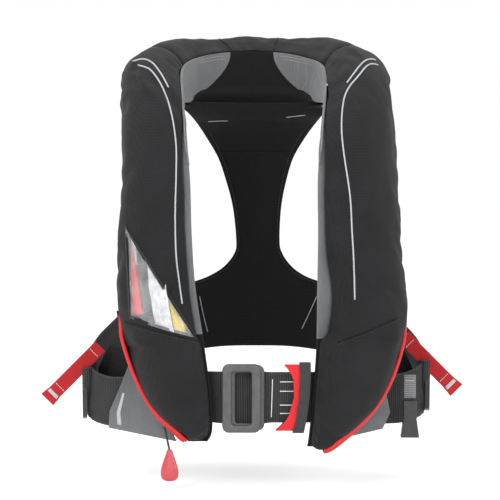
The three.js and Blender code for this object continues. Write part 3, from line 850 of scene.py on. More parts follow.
def thicken(obj: bpy.types.Object, thickness: float, offset: float = 0.0,
            round_edge: float = 0.0) -> None:
    """Give a sheet its wall, and round its edge.

    Args:
        obj: the sheet.
        thickness: wall in metres.
        offset: -1 for inwards, 1 for outwards.
        round_edge: width of the rounded edge, or 0.
    """
    wall = obj.modifiers.new("wall", "SOLIDIFY")
    wall.thickness = thickness
    wall.offset = offset
    if round_edge:
        edge = obj.modifiers.new("edge", "BEVEL")
        edge.width = round_edge
        edge.segments = 2
        edge.limit_method = "ANGLE"
        edge.angle_limit = math.radians(50)


def stitches(points: Sequence[Vector], pitch: float = 3.4, length: float = 2.4,
             radius: float = 0.34) -> bmesh.types.BMesh:
    """A row of sewn stitches along a path.

    Args:
        points: path of the row, on the cloth.
        pitch: distance between stitches, in millimetres.
        length: length of one stitch, in millimetres.
        radius: radius of the thread, in millimetres.

    Returns:
        The mesh of the row.
    """
    path = smooth_path(points, max(1, round(path_length(list(points)) / (pitch * MM))))
    bm = bmesh.new()
    for a, b in zip(path, path[1:]):
        run = (b - a).normalized()
        turn = Vector((0, 0, 1)).rotation_difference(run).to_matrix().to_4x4()
        bmesh.ops.create_cone(bm, cap_ends=True, segments=6, radius1=radius * MM, radius2=radius * MM,
                              depth=length * MM, matrix=Matrix.Translation((a + b) / 2) @ turn)
    return bm


@dataclass(frozen=True)
class FrontView:
    """Where the jacket is looked at from, and lines laid on it as seen from there."""

    target: tuple = (-0.002, -0.0952, -0.190)
    distance: float = 1.905
    elevation: float = 3.0
    lens: float = 137.14

    @property
    def eye(self) -> Vector:
        """Place of the camera."""
        tilt = math.radians(self.elevation)
        return Vector(self.target) + Vector((0, -math.cos(tilt), math.sin(tilt))) * self.distance

    def camera(self) -> None:
        """Make the scene's camera."""
        data = bpy.data.cameras.new("front_camera")
        data.lens = self.lens
        data.sensor_width = 36.0
        data.clip_end = 30.0
        camera = bpy.data.objects.new("front_camera", data)
        camera.location = self.eye
        camera.rotation_euler = (Vector(self.target) - self.eye).to_track_quat("-Z", "Y").to_euler()
        bpy.context.scene.collection.objects.link(camera)
        bpy.context.scene.camera = camera

    def lay(self, tree: BVHTree, line: Sequence[tuple], count: int, clear: float) -> Path:
        """Lay a line on a surface as it is seen from the front.

        Args:
            tree: the surface.
            line: x and z in millimetres, on the plane of the lobes' faces.
            count: points wanted.
            clear: how far the line stands off the surface, in metres.

        Returns:
            The points of the line, without those that miss the surface.
        """
        plane = [Vector((x * MM, self.target[1], z * MM)) for x, z in line]
        points = []
        for p in smooth_path(plane, count):
            hit, normal, _, _ = tree.ray_cast(self.eye, (p - self.eye).normalized())
            if hit is None:
                continue
            if normal.dot(self.eye - hit) < 0:
                normal = -normal
            points.append(hit + normal * clear)
        return points


VIEW = FrontView()


@dataclass
class Studio:
    """Pale floor in white air, and soft lights."""

    floor_z: float = -0.432
    floor_radius: float = 9.0
    glow: float = 0.14
    lights: tuple = (
        ("key", (-1.3, -1.9, 1.3), 1.5, 32.0),
        ("fill", (1.7, -1.7, 0.5), 1.8, 17.0),
        ("top", (0.0, 0.3, 1.6), 1.4, 14.0),
        ("low", (0.0, -2.4, -0.2), 1.6, 7.0),
    )

    def build(self) -> None:
        """Make the camera, the floor, the lights and the world."""
        VIEW.camera()
        bm = bmesh.new()
        bmesh.ops.create_circle(bm, segments=96, radius=self.floor_radius, cap_ends=True)
        bmesh.ops.translate(bm, verts=bm.verts[:], vec=(0, 0, self.floor_z))
        mesh = bpy.data.meshes.new("studio_floor")
        bm.to_mesh(mesh)
        bm.free()
        mesh.shade_smooth()
        floor = bpy.data.objects.new("studio_floor", mesh)
        bpy.context.scene.collection.objects.link(floor)
        material, t, shader = new_material("floor_paper", Roughness=0.9)
        shader.inputs["Emission Color"].default_value = (1, 1, 1, 1)
        shader.inputs["Emission Strength"].default_value = self.glow
        grain = t.add("TexNoise", {"Vector": t.add("TexCoord").outputs["Object"], "Scale": 260.0})
        t.tree.links.new(shade(t, grain.outputs[0], (0.86, 0.86, 0.86), (0.9, 0.9, 0.9)),
                         shader.inputs["Base Color"])
        mesh.materials.append(material)
        for name, place, size, power in self.lights:
            light = bpy.data.lights.new(name, "AREA")
            light.shape = "DISK"
            light.size = size
            light.energy = power
            obj = bpy.data.objects.new(name, light)
            obj.location = place
            aim = Vector(VIEW.target) - Vector(place)
            obj.rotation_euler = aim.to_track_quat("-Z", "Y").to_euler()
            bpy.context.scene.collection.objects.link(obj)
        world = bpy.data.worlds.new("studio_air")
        world.use_nodes = True
        world.node_tree.nodes["Background"].inputs["Color"].default_value = (1, 1, 1, 1)
        world.node_tree.nodes["Background"].inputs["Strength"].default_value = 1.0
        bpy.context.scene.world = world
        bpy.context.scene.view_settings.view_transform = "Standard"


# ---------------------------------------------------------------- padded covers


@dataclass(frozen=True)
class Swell:
    """How air fills a cover: pressure, spare cloth, time and the furthest that a point moves."""

    pressure: float = 4.0
    spare: float = 0.03
    frames: int = 16
    cap: float = 0.006

    def fill(self, obj: bpy.types.Object, held: Sequence[int]) -> None:
        """Let a cover swell, and keep the result as its mesh.

        Args:
            obj: the cover.
            held: vertices that stay in place.
        """
        obj.vertex_groups.new(name="held").add(list(held), 1.0, "REPLACE")
        before = [v.co.copy() for v in obj.data.vertices]
        cloth = obj.modifiers.new("air", "CLOTH")
        settings = cloth.settings
        settings.quality = 6
        settings.mass = 0.2
        settings.tension_stiffness = settings.compression_stiffness = 18.0
        settings.bending_stiffness = 0.6
        settings.use_pressure = True
        settings.uniform_pressure_force = self.pressure
        settings.vertex_group_mass = "held"
        settings.shrink_min = -self.spare
        settings.effector_weights.gravity = 0.0
        cloth.collision_settings.use_collision = False
        cloth.point_cache.frame_end = self.frames
        scene = bpy.context.scene
        for number in range(1, self.frames + 1):
            scene.frame_set(number)
        deps = bpy.context.evaluated_depsgraph_get()
        mesh = bpy.data.meshes.new_from_object(obj.evaluated_get(deps))
        for v, old in zip(mesh.vertices, before):
            move = v.co - old
            if move.length > self.cap:
                v.co = old + move.normalized() * self.cap
        obj.modifiers.clear()
        obj.vertex_groups.clear()
        plain = obj.data
        obj.data = mesh
        bpy.data.meshes.remove(plain)
        scene.frame_set(1)


def baked(obj: bpy.types.Object, levels: int) -> bmesh.types.BMesh:
    """Mesh of an object after subdivision.

    Args:
        obj: the object, which keeps the modifier.
        levels: levels of subdivision.

    Returns:
        The mesh.
    """
    sub = obj.modifiers.new("smooth", "SUBSURF")
    sub.levels = sub.render_levels = levels
    deps = bpy.context.evaluated_depsgraph_get()
    deps.update()
    mesh = bpy.data.meshes.new_from_object(obj.evaluated_get(deps))
    bm = bmesh.new()
    bm.from_mesh(mesh)
    bpy.data.meshes.remove(mesh)
    return bm


def surface_of(*objects: bpy.types.Object) -> BVHTree:
    """Search tree over the finished surfaces of some pieces.

    Args:
        objects: the pieces.

    Returns:
        The tree.
    """
    deps = bpy.context.evaluated_depsgraph_get()
    deps.update()
    points, faces = [], []
    for obj in objects:
        mesh = obj.evaluated_get(deps).to_mesh()
        first = len(points)
        points.extend(v.co.copy() for v in mesh.vertices)
        faces.extend([first + i for i in p.vertices] for p in mesh.polygons)
        obj.evaluated_get(deps).to_mesh_clear()
    return BVHTree.FromPolygons(points, faces)


@dataclass
class PaddedShell:
    """A padded cover: a closed form between two stations, filled with air."""

    name: str
    node: str
    start: float
    end: float
    rows: int
    sides: int = 52
    shrink: float = 0.0008
    fill: float = 0.7
    seed: float = 0.0
    window: tuple = ()
    seams: tuple = (-3.2, 3.2)
    smooth_above: float = -0.13
    smooth_rounds: int = 14

    def _station(self, u: float) -> float:
        """Station at a share along the cover."""
        return self.start + (self.end - self.start) * u

    def _place(self, u: float, v: float) -> Vector:
        """Point of the slightly smaller form that the air fills."""
        k = self._station(u)
        turn = 360.0 * v
        seam = min(abs(k - s) for s in self.seams)
        tuck = 0.003 * math.exp(-(seam / 0.1) ** 2) + 0.0035 * math.exp(-((abs(k) - 13.0) / 0.25) ** 2)
        return FORM.section(k, turn, -self.shrink - tuck)

    def _creased(self, v: bmesh.types.BMVert) -> float:
        """How far the cloth stands in or out at a point, in metres."""
        p = v.co * 1000
        shoulder = math.exp(-((p.z + 18) / 34) ** 2)
        diagonal = Vector((p.x * 0.05 + p.z * 0.028, p.y * 0.018, p.z * 0.012 + self.seed))
        folds = noise.noise(diagonal) * noise.noise(diagonal * 2.3 + Vector((3, 1, 7)))
        broad = noise.noise(Vector((p.x * 0.016, p.y * 0.02, p.z * 0.011 + 5 + self.seed)))
        pucker = noise.noise(Vector((p.x * 0.09, p.y * 0.09, p.z * 0.035 + self.seed)))
        return MM * (11.0 * shoulder * folds + 1.1 * broad + 0.5 * pucker)

    def build(self, maker: Maker) -> bpy.types.Object:
        """Make the cover, fill it, crease it and cut its window."""
        bm = grid_mesh(self.rows, self.sides, self._place)
        close_tube(bm)
        bmesh.ops.recalc_face_normals(bm, faces=bm.faces[:])
        raw = maker.piece(self.name, bm, "ripstop_black", "fabric_black", replaces=[self.node])
        held = self._held(raw)
        Swell().fill(raw, held)
        bm = baked(raw, 1)
        raw.modifiers.clear()
        shoulder = [v for v in bm.verts if v.co.z > self.smooth_above]
        for _ in range(self.smooth_rounds):
            bmesh.ops.smooth_vert(bm, verts=shoulder, factor=0.5, use_axis_x=True, use_axis_y=True,
                                  use_axis_z=True)
        bm.normal_update()
        moves = [(v, v.normal * self._creased(v)) for v in bm.verts]
        for v, move in moves:
            v.co += move
        if self.window:
            self._cut_window(bm)
        bm.to_mesh(raw.data)
        bm.free()
        raw.data.shade_smooth()
        if self.window:
            thicken(raw, 0.0011, -1)
        return raw

    def _held(self, obj: bpy.types.Object) -> list[int]:
        """Vertices on the wearer's side and at both ends."""
        run, turn = (obj.data.attributes[name].data for name in ("share_along", "share_across"))
        return [i for i in range(len(obj.data.vertices))
                if not 0.03 < turn[i].value < 0.47 or not 0.01 < run[i].value < 0.99]

    def _cut_window(self, bm: bmesh.types.BMesh) -> None:
        """Cut the three-sided window through the cover's front."""
        corners = [FORM.at(x, 0, z) for x, z in self.window]
        middle = sum(corners, Vector()) / 3
        reach = max((c - middle).length for c in corners) * 1.5
        sides, turn = [], bm.verts.layers.float["share_across"]
        for a, b in zip(corners, corners[1:] + corners[:1]):
            normal = (b - a).cross(Vector((0, 1, 0))).normalized()
            if normal.dot(middle - a) < 0:
                normal = -normal
            sides.append((a, normal))

        def near(face: bmesh.types.BMFace) -> bool:
            """Whether a face belongs to the front skin round the window."""
            c = face.calc_center_median()
            front = all(0.01 < v[turn] < 0.49 for v in face.verts)
            return front and Vector((c.x - middle.x, 0, c.z - middle.z)).length < reach

        for point, normal in sides:
            faces = [f for f in bm.faces if near(f)]
            edges = {e for f in faces for e in f.edges}
            verts = {v for f in faces for v in f.verts}
            bmesh.ops.bisect_plane(bm, geom=[*faces, *edges, *verts], plane_co=point,
                                   plane_no=normal, dist=0.00002)
        gone = [f for f in bm.faces if near(f) and all(
            (f.calc_center_median() - p).dot(n) > 0 for p, n in sides)]
        bmesh.ops.delete(bm, geom=gone, context="FACES")


WINDOW = ((-131, -180), (-127, -268), (-64, -286))


@dataclass
class Covers:
    """The two lobes and the collar, padded, with the window cut through the right lobe."""

    lobe_rows: int = 112
    collar_rows: int = 84
    seam_tuck: float = 0.1
    shells: dict = field(default_factory=dict)

    def build(self, maker: Maker) -> None:
        """Make the three covers."""
        seam, tip = FORM.shoulder_seam, FORM.tip
        self.shells["right"] = PaddedShell(
            "right_lobe_shell", "right_lobe_cover", -seam + self.seam_tuck, -tip, self.lobe_rows,
            window=WINDOW, seed=3.0).build(maker)
        self.shells["left"] = PaddedShell(
            "left_lobe_shell", "left_lobe_cover", seam - self.seam_tuck, tip, self.lobe_rows,
            seed=11.0).build(maker)
        self.shells["collar"] = PaddedShell(
            "collar_shell", "collar_cover", -seam - self.seam_tuck, seam + self.seam_tuck,
            self.collar_rows, seed=7.0).build(maker)

    def surface(self) -> BVHTree:
        """Search tree over the three covers."""
        return surface_of(*self.shells.values())


def edge_line(side: Side, share: float, clear: float, first: float = 9.3, last: float = 12.35,
              count: int = 20, sink: float = 0.0) -> Path:
    """Line along the outer and lower edge of a lobe.

    Args:
        side: which lobe.
        share: share of the section from the neck edge to the outer edge.
        clear: how far the line stands off the cover, in metres.
        first: station where it starts.
        last: station where it ends.
        count: points along it.
        sink: how far its first point sits into the cover, in metres.

    Returns:
        The points.
    """
    line = []
    for i in range(count + 1):
        k = side.value * (first + (last - first) * i / count)
        away = (FORM.outer_edge(k) - FORM.neck_edge(k)).normalized()
        out = FORM.outward(k)
        rise = crown(share)
        base = FORM.neck_edge(k).lerp(FORM.outer_edge(k) - away * FORM.side_inset(k), share)
        base += out * (FORM.fullness(k) * rise + 0.2 * MM)
        sunk = sink * max(0.0, 1 - (abs(k) - first) / 0.5)
        line.append(base + (out * 0.55 + away * 0.83) * (clear - sunk))
    return line


@dataclass
class Trim:
    """Piping, seams and stitching laid on the covers."""

    surface: BVHTree
    reflective: dict = field(default_factory=lambda: {
        "right_long_piping": [(-113, -6), (-102, -10), (-93, -21), (-86, -36), (-80, -56), (-76, -85),
                              (-76, -117), (-77, -155), (-76, -196), (-73, -222), (-70, -244)],
        "right_short_piping": [(-118, -2), (-108, 0), (-99.5, -3.5), (-92.5, -12), (-87.5, -20),
                               (-83.3, -28)],
        "left_long_piping": [(125, -6), (119.5, -4.7), (113.4, -7.5), (106, -16.6), (98, -26),
                             (92.7, -36.5), (90, -52), (89.6, -72), (92, -95), (98, -136),
                             (100, -170), (102, -205), (103, -240)],
        "left_short_piping": [(122.6, -1), (118.8, 0), (112.6, -1.6), (106.5, -7.5), (99.6, -16.6),
                              (94.7, -23.5)],
    })
    seams: dict = field(default_factory=lambda: {
        "left_lobe_seam": [(86, -283), (100, -277.5), (124, -268), (146, -258)],
        "right_lobe_seam": [(-128, -262), (-96, -271), (-60, -280), (-50, -283)],
        "right_collar_seam": [(-34, 21), (-25, 14), (-18, 5), (-15.5, -4)],
        "left_collar_seam": [(26, 21), (23, 14), (21.5, 5), (21, -3)],
    })
    piping_radius: float = 0.0021

    def build(self, maker: Maker) -> None:
        """Lay every line of trim."""
        for name, line in self.reflective.items():
            points = VIEW.lay(self.surface, line, 48, 0.0003)
            maker.tube(name, points, 0.0009, "reflective_silver", "webbing_grey", steps=90)
        for name, line in self.seams.items():
            points = VIEW.lay(self.surface, line, 40, 0.00005)
            maker.tube(name, points, 0.0007, "cloth_inner_black", "fabric_black", steps=50)
            row = VIEW.lay(self.surface, [(x, z - 2.4) for x, z in line], 40, 0.0002)
            maker.piece(f"{name}_stitch", stitches(row, pitch=2.8, length=2.0, radius=0.26),
                        "thread_black", "fabric_black")
        for side in Side:
            self._zip(maker, side)

    def _zip(self, maker: Maker, side: Side) -> None:
        """Red piping, second piping and zip along one lobe's edge."""
        red = edge_line(side, 0.89, 0.0019, 9.25, 12.6, sink=0.0034)
        maker.tube(f"{side.word}_edge_piping", red, self.piping_radius, "piping_red", "webbing_red",
                   steps=110, replaces=[f"{side.word}_piping"])
        low = edge_line(side, 0.95, 0.0052, 11.15, 12.75, sink=0.002)
        maker.tube(f"{side.word}_under_piping", low, 0.0014, "piping_red", "webbing_red", steps=60)
        near, far = (edge_line(side, s, 0.0019, count=60) for s in (0.930, 0.990))

        def tape(u: float, v: float) -> Vector:
            """Point of the zip's tape."""
            i = min(59, int(u * 60))
            f = u * 60 - i
            return near[i].lerp(near[i + 1], f).lerp(far[i].lerp(far[i + 1], f), v)

        bm = grid_mesh(120, 3, tape)
        obj = maker.piece(f"{side.word}_zip_tape", bm, "cloth_inner_black", "plastic_black",
                          replaces=[f"{side.word}_zip"])
        thicken(obj, 0.0012, 0.0)
        middle = smooth_path([tape(i / 40, 0.5) for i in range(41)], 118)
        bm = bmesh.new()
        for a, b in zip(middle, middle[1:]):
            run = (b - a).normalized()
            turn = Vector((1, 0, 0)).rotation_difference(run).to_matrix().to_4x4()
            lift = FORM.outward(side.value * 11) * 0.0009
            bmesh.ops.create_cone(
                bm, cap_ends=True, segments=6, radius1=0.0009, radius2=0.0007, depth=0.0036,
                matrix=Matrix.Translation(a + lift) @ turn)
        maker.piece(f"{side.word}_zip_teeth", bm, "moulded_black", "plastic_black", smooth=False)


@dataclass
class Bladder:
    """Folded bladder in each lobe and round the collar, laid in pleats."""

    pleats: int = 5
    pleat_depth: float = 0.0022
    spans: tuple = (("right", -11.4, -3.3, 0.13, 0.36), ("left", 3.3, 11.4, 0.32, 0.66),
                    ("collar", -3.17, 3.17, 0.18, 0.82))

    def build(self, maker: Maker) -> None:
        """Make the three folded chambers."""
        for word, start, end, near, far in self.spans:
            def place(u: float, v: float, a: float = start, b: float = end,
                      s0: float = near, s1: float = far) -> Vector:
                """Point of the folded chamber."""
                k = a + (b - a) * u
                turn = 2 * math.pi * v
                s = (s0 + s1) / 2 - (s1 - s0) / 2 * math.cos(turn)
                room = max(0.003, FORM.fullness(k) - 0.006) * crown(s) * 0.72
                pleat = self.pleat_depth * math.sin(self.pleats * math.pi * s / (s1 - s0))
                crumple = 0.0014 * noise.noise(Vector((k * 3, s * 9, s0)))
                lift = 0.002 + (0.5 + 0.5 * math.sin(turn)) * room
                base = FORM.neck_edge(k).lerp(FORM.outer_edge(k), s)
                return base + FORM.outward(k) * max(0.0012, lift - 0.004 + pleat + crumple)

            bm = grid_mesh(96, 48, place)
            close_tube(bm)
            obj = maker.piece(f"{word}_folded_bladder", bm, "bladder_yellow", "bladder",
                              replaces=[f"{word}_air_chamber"], recalc=True)


@dataclass
class Linings:
    """Grey linings behind the lobes and round the neck, and the black nape panel."""

    thickness: float = 0.0024
    nape_top: float = 0.7
    nape_spread: float = 2.0
    nape_curve: float = 2.2
    lining_end: float = 6.7
    tuck: float = 0.05
    black_below: float = -0.280
    back_start: float = 3.23
    back_end: float = 12.9
    back_rows: int = 110
    back_across: int = 24
    collar_end: float = 3.27
    neck_gap: float = 0.03
    nape_overlap: float = 0.2

    def build(self, maker: Maker) -> None:
        """Make every lining."""
        for side in Side:
            self._lobe_back(maker, side)
            self._neck(maker, side)
        self._sheet(maker, "collar_back", "collar_liner", 64, 16, self._collar_back,
                    "cloth_inner_black", "fabric_black")
        self._sheet(maker, "nape_cloth", "nape_panel", 48, 18, self._nape, "cloth_inner_black",
                    "fabric_black")

    def _sheet(self, maker: Maker, name: str, node: str, along: int, across: int, place: Place,
               finish: str, slot: str) -> bpy.types.Object:
        """Make one lining from its shape.

        Args:
            maker: makes the piece.
            name: name of the piece.
            node: node that it replaces.
            along: faces along it.
            across: faces across it.
            place: its shape.
            finish: material name.
            slot: material slot.

        Returns:
            The piece.
        """
        bm = grid_mesh(along, across, place)
        area = area_of(bm)
        length = path_length([place(i / 40, 0.5) for i in range(41)])
        obj = maker.piece(name, bm, finish, slot, replaces=[node])
        thicken(obj, self.thickness, 0.0, round_edge=0.0008)
        return obj

    def _lobe_back(self, maker: Maker, side: Side) -> None:
        """Back of one lobe, with its edge showing past the cover."""
        def place(u: float, v: float) -> Vector:
            """Point of the lobe's back."""
            k = side.value * (self.back_start + (self.back_end - self.back_start) * u)
            swell = 0.0012 * math.exp(-(v / 0.08) ** 2)
            return FORM.liner_point(k, v) + FORM.outward(k) * swell
        obj = self._sheet(maker, f"{side.word}_lobe_back", f"{side.word}_lobe_liner", self.back_rows,
                          self.back_across, place, "lining_grey", "fabric_grey")
        obj.data.materials.append(maker.wardrobe["cloth_inner_black"])
        faces = obj.data.polygons
        for face in faces:
            column = face.index % self.back_rows
            middle = faces[column + self.back_rows * (self.back_across // 2)]
            if middle.center.z < self.black_below:
                face.material_index = 1

    def _neck(self, maker: Maker, side: Side) -> None:
        """Grey panel of the neck wall on one side."""
        def place(u: float, v: float) -> Vector:
            """Point of the neck panel, gently creased."""
            start = self.nape_top + self.nape_spread * v ** self.nape_curve + self.neck_gap
            k = side.value * (start + (self.lining_end - start) * u)
            crease = 0.0016 * noise.noise(Vector((k * 2.2, v * 2.5, 4))) * math.sin(math.pi * v)
            away = (FORM.wall_point(k, 0) - FORM.outer_edge(k)).normalized()
            return FORM.wall_point(k, v - self.tuck * (1 - v)) + away * crease
        self._sheet(maker, f"{side.word}_neck_cloth", f"{side.word}_collar_lining", 90, 22, place,
                    "lining_grey", "fabric_grey")
        for number, v in enumerate((0.08, 0.14)):
            row = [place(i / 30, v) + (FORM.outer_edge(0) - FORM.neck_edge(0)).normalized() * -0.0016
                   for i in range(1, 30)]
            maker.piece(f"{side.word}_neck_stitch_{number}", stitches(row), "thread_grey",
                        "webbing_grey")

    def _nape(self, u: float, v: float) -> Vector:
        """Point of the nape panel, which dips in along its middle."""
        half = self.nape_top + self.nape_spread * v ** self.nape_curve + self.nape_overlap
        k = (2 * u - 1) * half
        fold = 0.004 * math.exp(-((v - 0.82) / 0.08) ** 2)
        return FORM.wall_point(k, v - self.tuck * (1 - v)) + Vector((0, 0.0012 - fold, 0))

    def _collar_back(self, u: float, v: float) -> Vector:
        """Point of the collar's back."""
        return FORM.liner_point(self.collar_end * (2 * u - 1), v)


@dataclass
class BackPanel:
    """Yoke that narrows to a stem and flares into the waist band, with the band itself."""

    belt_width: float = 0.051
    band_share: float = 1.44
    band_middle: float = -282.0
    stem_foot: float = -198.0
    hem: float = 0.004
    rows: tuple = (
        (-42, -84, 94, 58, 36), (-54, -70, 80, 70, 34), (-64, -62, 72, 84, 28), (-80, -52, 61, 97, 20),
        (-103, -39, 48, 105, 10), (-129, -30, 40, 107, 7), (-160, -22, 34, 106, 7),
        (-198, -18, 32, 102, 7), (-212, -20, 35, 100, 7), (-226, -32, 46, 99, 7),
        (-236, -50, 62, 98, 7), (-243, -72, 84, 97, 7),
    )

    def yoke_point(self, u: float, v: float) -> Vector:
        """Point of the yoke: u down it, v from the wearer's right to their left."""
        last = len(self.rows) - 1
        z, x0, x1, y, bow = (table_curve(self.rows, c, u * last) for c in range(5))
        foot = self.band_middle + (self.belt_width * self.band_share / 2 - self.hem) / FORM.tall
        if z < self.stem_foot:
            stretch = (foot - self.stem_foot) / (self.rows[-1][0] - self.stem_foot)
            z = self.stem_foot + (z - self.stem_foot) * stretch
        x = x0 + (x1 - x0) * v
        ripple = 0.5 * noise.noise(Vector((x * 0.03, z * 0.02, 2)))
        return FORM.at(x, y - bow * ((x - 5) / 75) ** 2 + ripple, z)

    def build(self, maker: Maker, belt: "WaistBelt") -> None:
        """Make the yoke and the band with their hems, seams and reflective marks."""
        bm = grid_mesh(96, 40, self.yoke_point)
        area = area_of(bm)
        yoke = maker.piece("back_yoke_cloth", bm, "cloth_inner_black", "fabric_black",
                           replaces=["back_yoke"])
        thicken(yoke, 0.0034, 0.0, round_edge=0.0012)
        for side in Side:
            edge = [self.yoke_point(i / 60, 0.5 + side.value * 0.44) + Vector((0, -0.0022, 0))
                    for i in range(61)]
            maker.piece(f"{side.word}_yoke_stitch", stitches(edge, pitch=3.0), "thread_black",
                        "fabric_black")
        seam = [self.yoke_point(0.34, i / 20) + Vector((0, -0.0018, 0)) for i in range(21)]
        maker.tube("yoke_seam", seam, 0.0009, "cloth_inner_black", "fabric_black", steps=30)
        bm = belt.strap_mesh(belt.band, 96, 12)
        area = area_of(bm)
        band = maker.piece("back_band_cloth", bm, "cloth_inner_black", "fabric_black",
                           replaces=["back_band"])
        thicken(band, 0.0042, 0.0, round_edge=0.0014)
        surface = surface_of(yoke, band)
        marks = {
            "right_yoke_mark": [(-43.6, -61.6), (-34, -61), (-24.3, -60.8)],
            "left_yoke_mark": [(34.6, -57.4), (44, -56.2), (53, -55.2)],
            "right_band_mark": [(-52.5, -236.5), (-49, -254), (-44.5, -272)],
            "left_band_mark": [(64.9, -236.5), (57.5, -253), (50, -269)],
        }
        for name, line in marks.items():
            points = VIEW.lay(surface, line, 12, 0.0004)
            if len(points) > 2:
                maker.tube(name, points, 0.0009, "reflective_silver", "webbing_grey", flat=0.5,
                           steps=16)


@dataclass
class WaistBelt:
    """Webbing round the waist, each half running from the band to the buckle."""

    width: float = 0.051
    thickness: float = 0.0018
    right: tuple = (
        (-112, 67.6, -297, 1.24), (-125, 59.6, -301, 1.22), (-150, 38, -313, 1.0), (-172, 8, -338, 1.0),
        (-176, -26, -358, 1.0), (-152, -50, -366, 1.0), (-112, -64, -362, 1.0),
        (-78, -80, -357, 1.0), (-52, -93, -355, 1.0),
    )
    left: tuple = (
        (122, 67.6, -297, 1.24), (135, 59.6, -301, 1.22), (160, 38, -312, 1.0), (181, 8, -334, 1.0),
        (186, -24, -352, 1.0), (166, -46, -362, 1.0), (128, -60, -362, 1.0),
        (96, -78, -357, 1.0), (75, -94, -355, 1.0),
    )
    front_right: tuple = (
        (-50, -94, -354.9, 1.0), (-36, -101.5, -354.9, 1.02), (-20, -105.4, -355.2, 1.06),
        (-5.5, -104.4, -355.2, 1.06),
    )
    front_left: tuple = (
        (-9, -105.4, -355.2, 1.06), (8, -105.4, -354.9, 1.04), (20, -105.4, -354.5, 1.0),
        (58, -105.2, -354.5, 1.0), (72, -98, -354.9, 1.0),
    )
    band: tuple = (
        (-120, 66, -298, 1.3), (-86, 84, -289, 1.44), (-40, 95, -283, 1.44), (5, 97.5, -282, 1.44),
        (50, 95, -283, 1.44), (96, 84, -289, 1.44), (130, 66, -298, 1.3),
    )

    def strap_mesh(self, stops: tuple, along: int, across: int) -> bmesh.types.BMesh:
        """Strap through a row of stops.

        Args:
            stops: x, y, z and share of the belt's width at each stop.
            along: faces along the strap.
            across: faces across it.

        Returns:
            The mesh.
        """
        centre = smooth_path([FORM.at(x, y, z) for x, y, z, _ in stops], along)
        gaps = [(FORM.at(*a[:3]) - FORM.at(*b[:3])).length for a, b in zip(stops, stops[1:])]
        marks = [sum(gaps[:i]) / sum(gaps) for i in range(len(stops))]

        def share(u: float) -> float:
            """Share of the belt's width at a share along the strap."""
            i = max(n for n in range(len(stops) - 1) if marks[n] <= u or n == 0)
            f = (u - marks[i]) / (marks[i + 1] - marks[i])
            return stops[i][3] + (stops[i + 1][3] - stops[i][3]) * min(1.0, f)

        def place(u: float, v: float) -> Vector:
            """Point of the strap."""
            i = min(along - 1, int(u * along))
            p = centre[i].lerp(centre[i + 1], u * along - i)
            run = (centre[min(along, i + 2)] - centre[max(0, i - 1)]).normalized()
            up = (Vector((0, 0, 1)) - run * run.z).normalized()
            return p + up * (self.width * share(u) * (v - 0.5))
        return grid_mesh(along, across, place, (path_length(centre), self.width))

    def build(self, maker: Maker) -> None:
        """Make the four lengths of webbing."""
        for name, stops, along in (("right_side_belt", self.right, 90), ("left_side_belt", self.left, 90),
                                   ("right_front_belt", self.front_right, 24),
                                   ("left_front_belt", self.front_left, 40)):
            bm = self.strap_mesh(stops, along, 6)
            area = area_of(bm)
            obj = maker.piece(f"{name}_webbing", bm, "webbing_black", "webbing_black",
                              replaces=[name])
            thicken(obj, self.thickness, 0.0, round_edge=0.0004)
            if name == "left_front_belt":
                self._bar_tacks(maker, surface_of(obj))

    def _bar_tacks(self, maker: Maker, surface: BVHTree) -> None:
        """White sewing where the harness loop is tacked to the belt."""
        lines = {"belt_tack_upright": [(20.6, -320), (20, -339), (19.4, -358)]}
        for number, z in enumerate((-322.5, -332.0, -346.0, -354.4)):
            lines[f"belt_tack_{number}"] = [(28, z), (35, z), (42, z)]
        for name, line in lines.items():
            points = VIEW.lay(surface, line, 10, 0.0003)
            maker.tube(name, points, 0.0008, "thread_white", "webbing_grey", flat=0.6, steps=14)


def framed_plate(width: float, height: float, hole: tuple[float, float], radii: tuple[float, float],
                 thick: float, soften: float) -> bmesh.types.BMesh:
    """Rounded frame standing in XZ, thick along Y.

    Args:
        width: outer width.
        height: outer height.
        hole: width and height of the hole.
        radii: outer and inner corner radius.
        thick: thickness along Y.
        soften: radius of every edge.

    Returns:
        The mesh, centred on the origin.
    """
    bm = bmesh.new()
    for (w, h), radius in zip(((width, height), hole), radii):
        ring = bmesh.ops.create_circle(bm, segments=32, radius=radius)["verts"]
        bmesh.ops.rotate(bm, verts=ring, matrix=Matrix.Rotation(math.pi / 32, 3, "Z"))
        for v in ring:
            v.co = Vector((v.co.x + math.copysign(w / 2 - radius, v.co.x), 0,
                           v.co.y + math.copysign(h / 2 - radius, v.co.y)))
    bmesh.ops.bridge_loops(bm, edges=bm.edges[:])
    out = bmesh.ops.extrude_face_region(bm, geom=bm.faces[:])
    moved = [g for g in out["geom"] if isinstance(g, bmesh.types.BMVert)]
    bmesh.ops.translate(bm, verts=moved, vec=(0, thick, 0))
    bmesh.ops.translate(bm, verts=bm.verts[:], vec=(0, -thick / 2, 0))
    bmesh.ops.recalc_face_normals(bm, faces=bm.faces[:])
    rims = [e for e in bm.edges if len(e.link_faces) == 2 and e.calc_face_angle() > math.radians(60)]
    bmesh.ops.bevel(bm, geom=rims, offset=soften, offset_type="OFFSET", affect="EDGES", segments=3,
                    profile=0.5, material=-1)
    bmesh.ops.recalc_face_normals(bm, faces=bm.faces[:])
    return bm


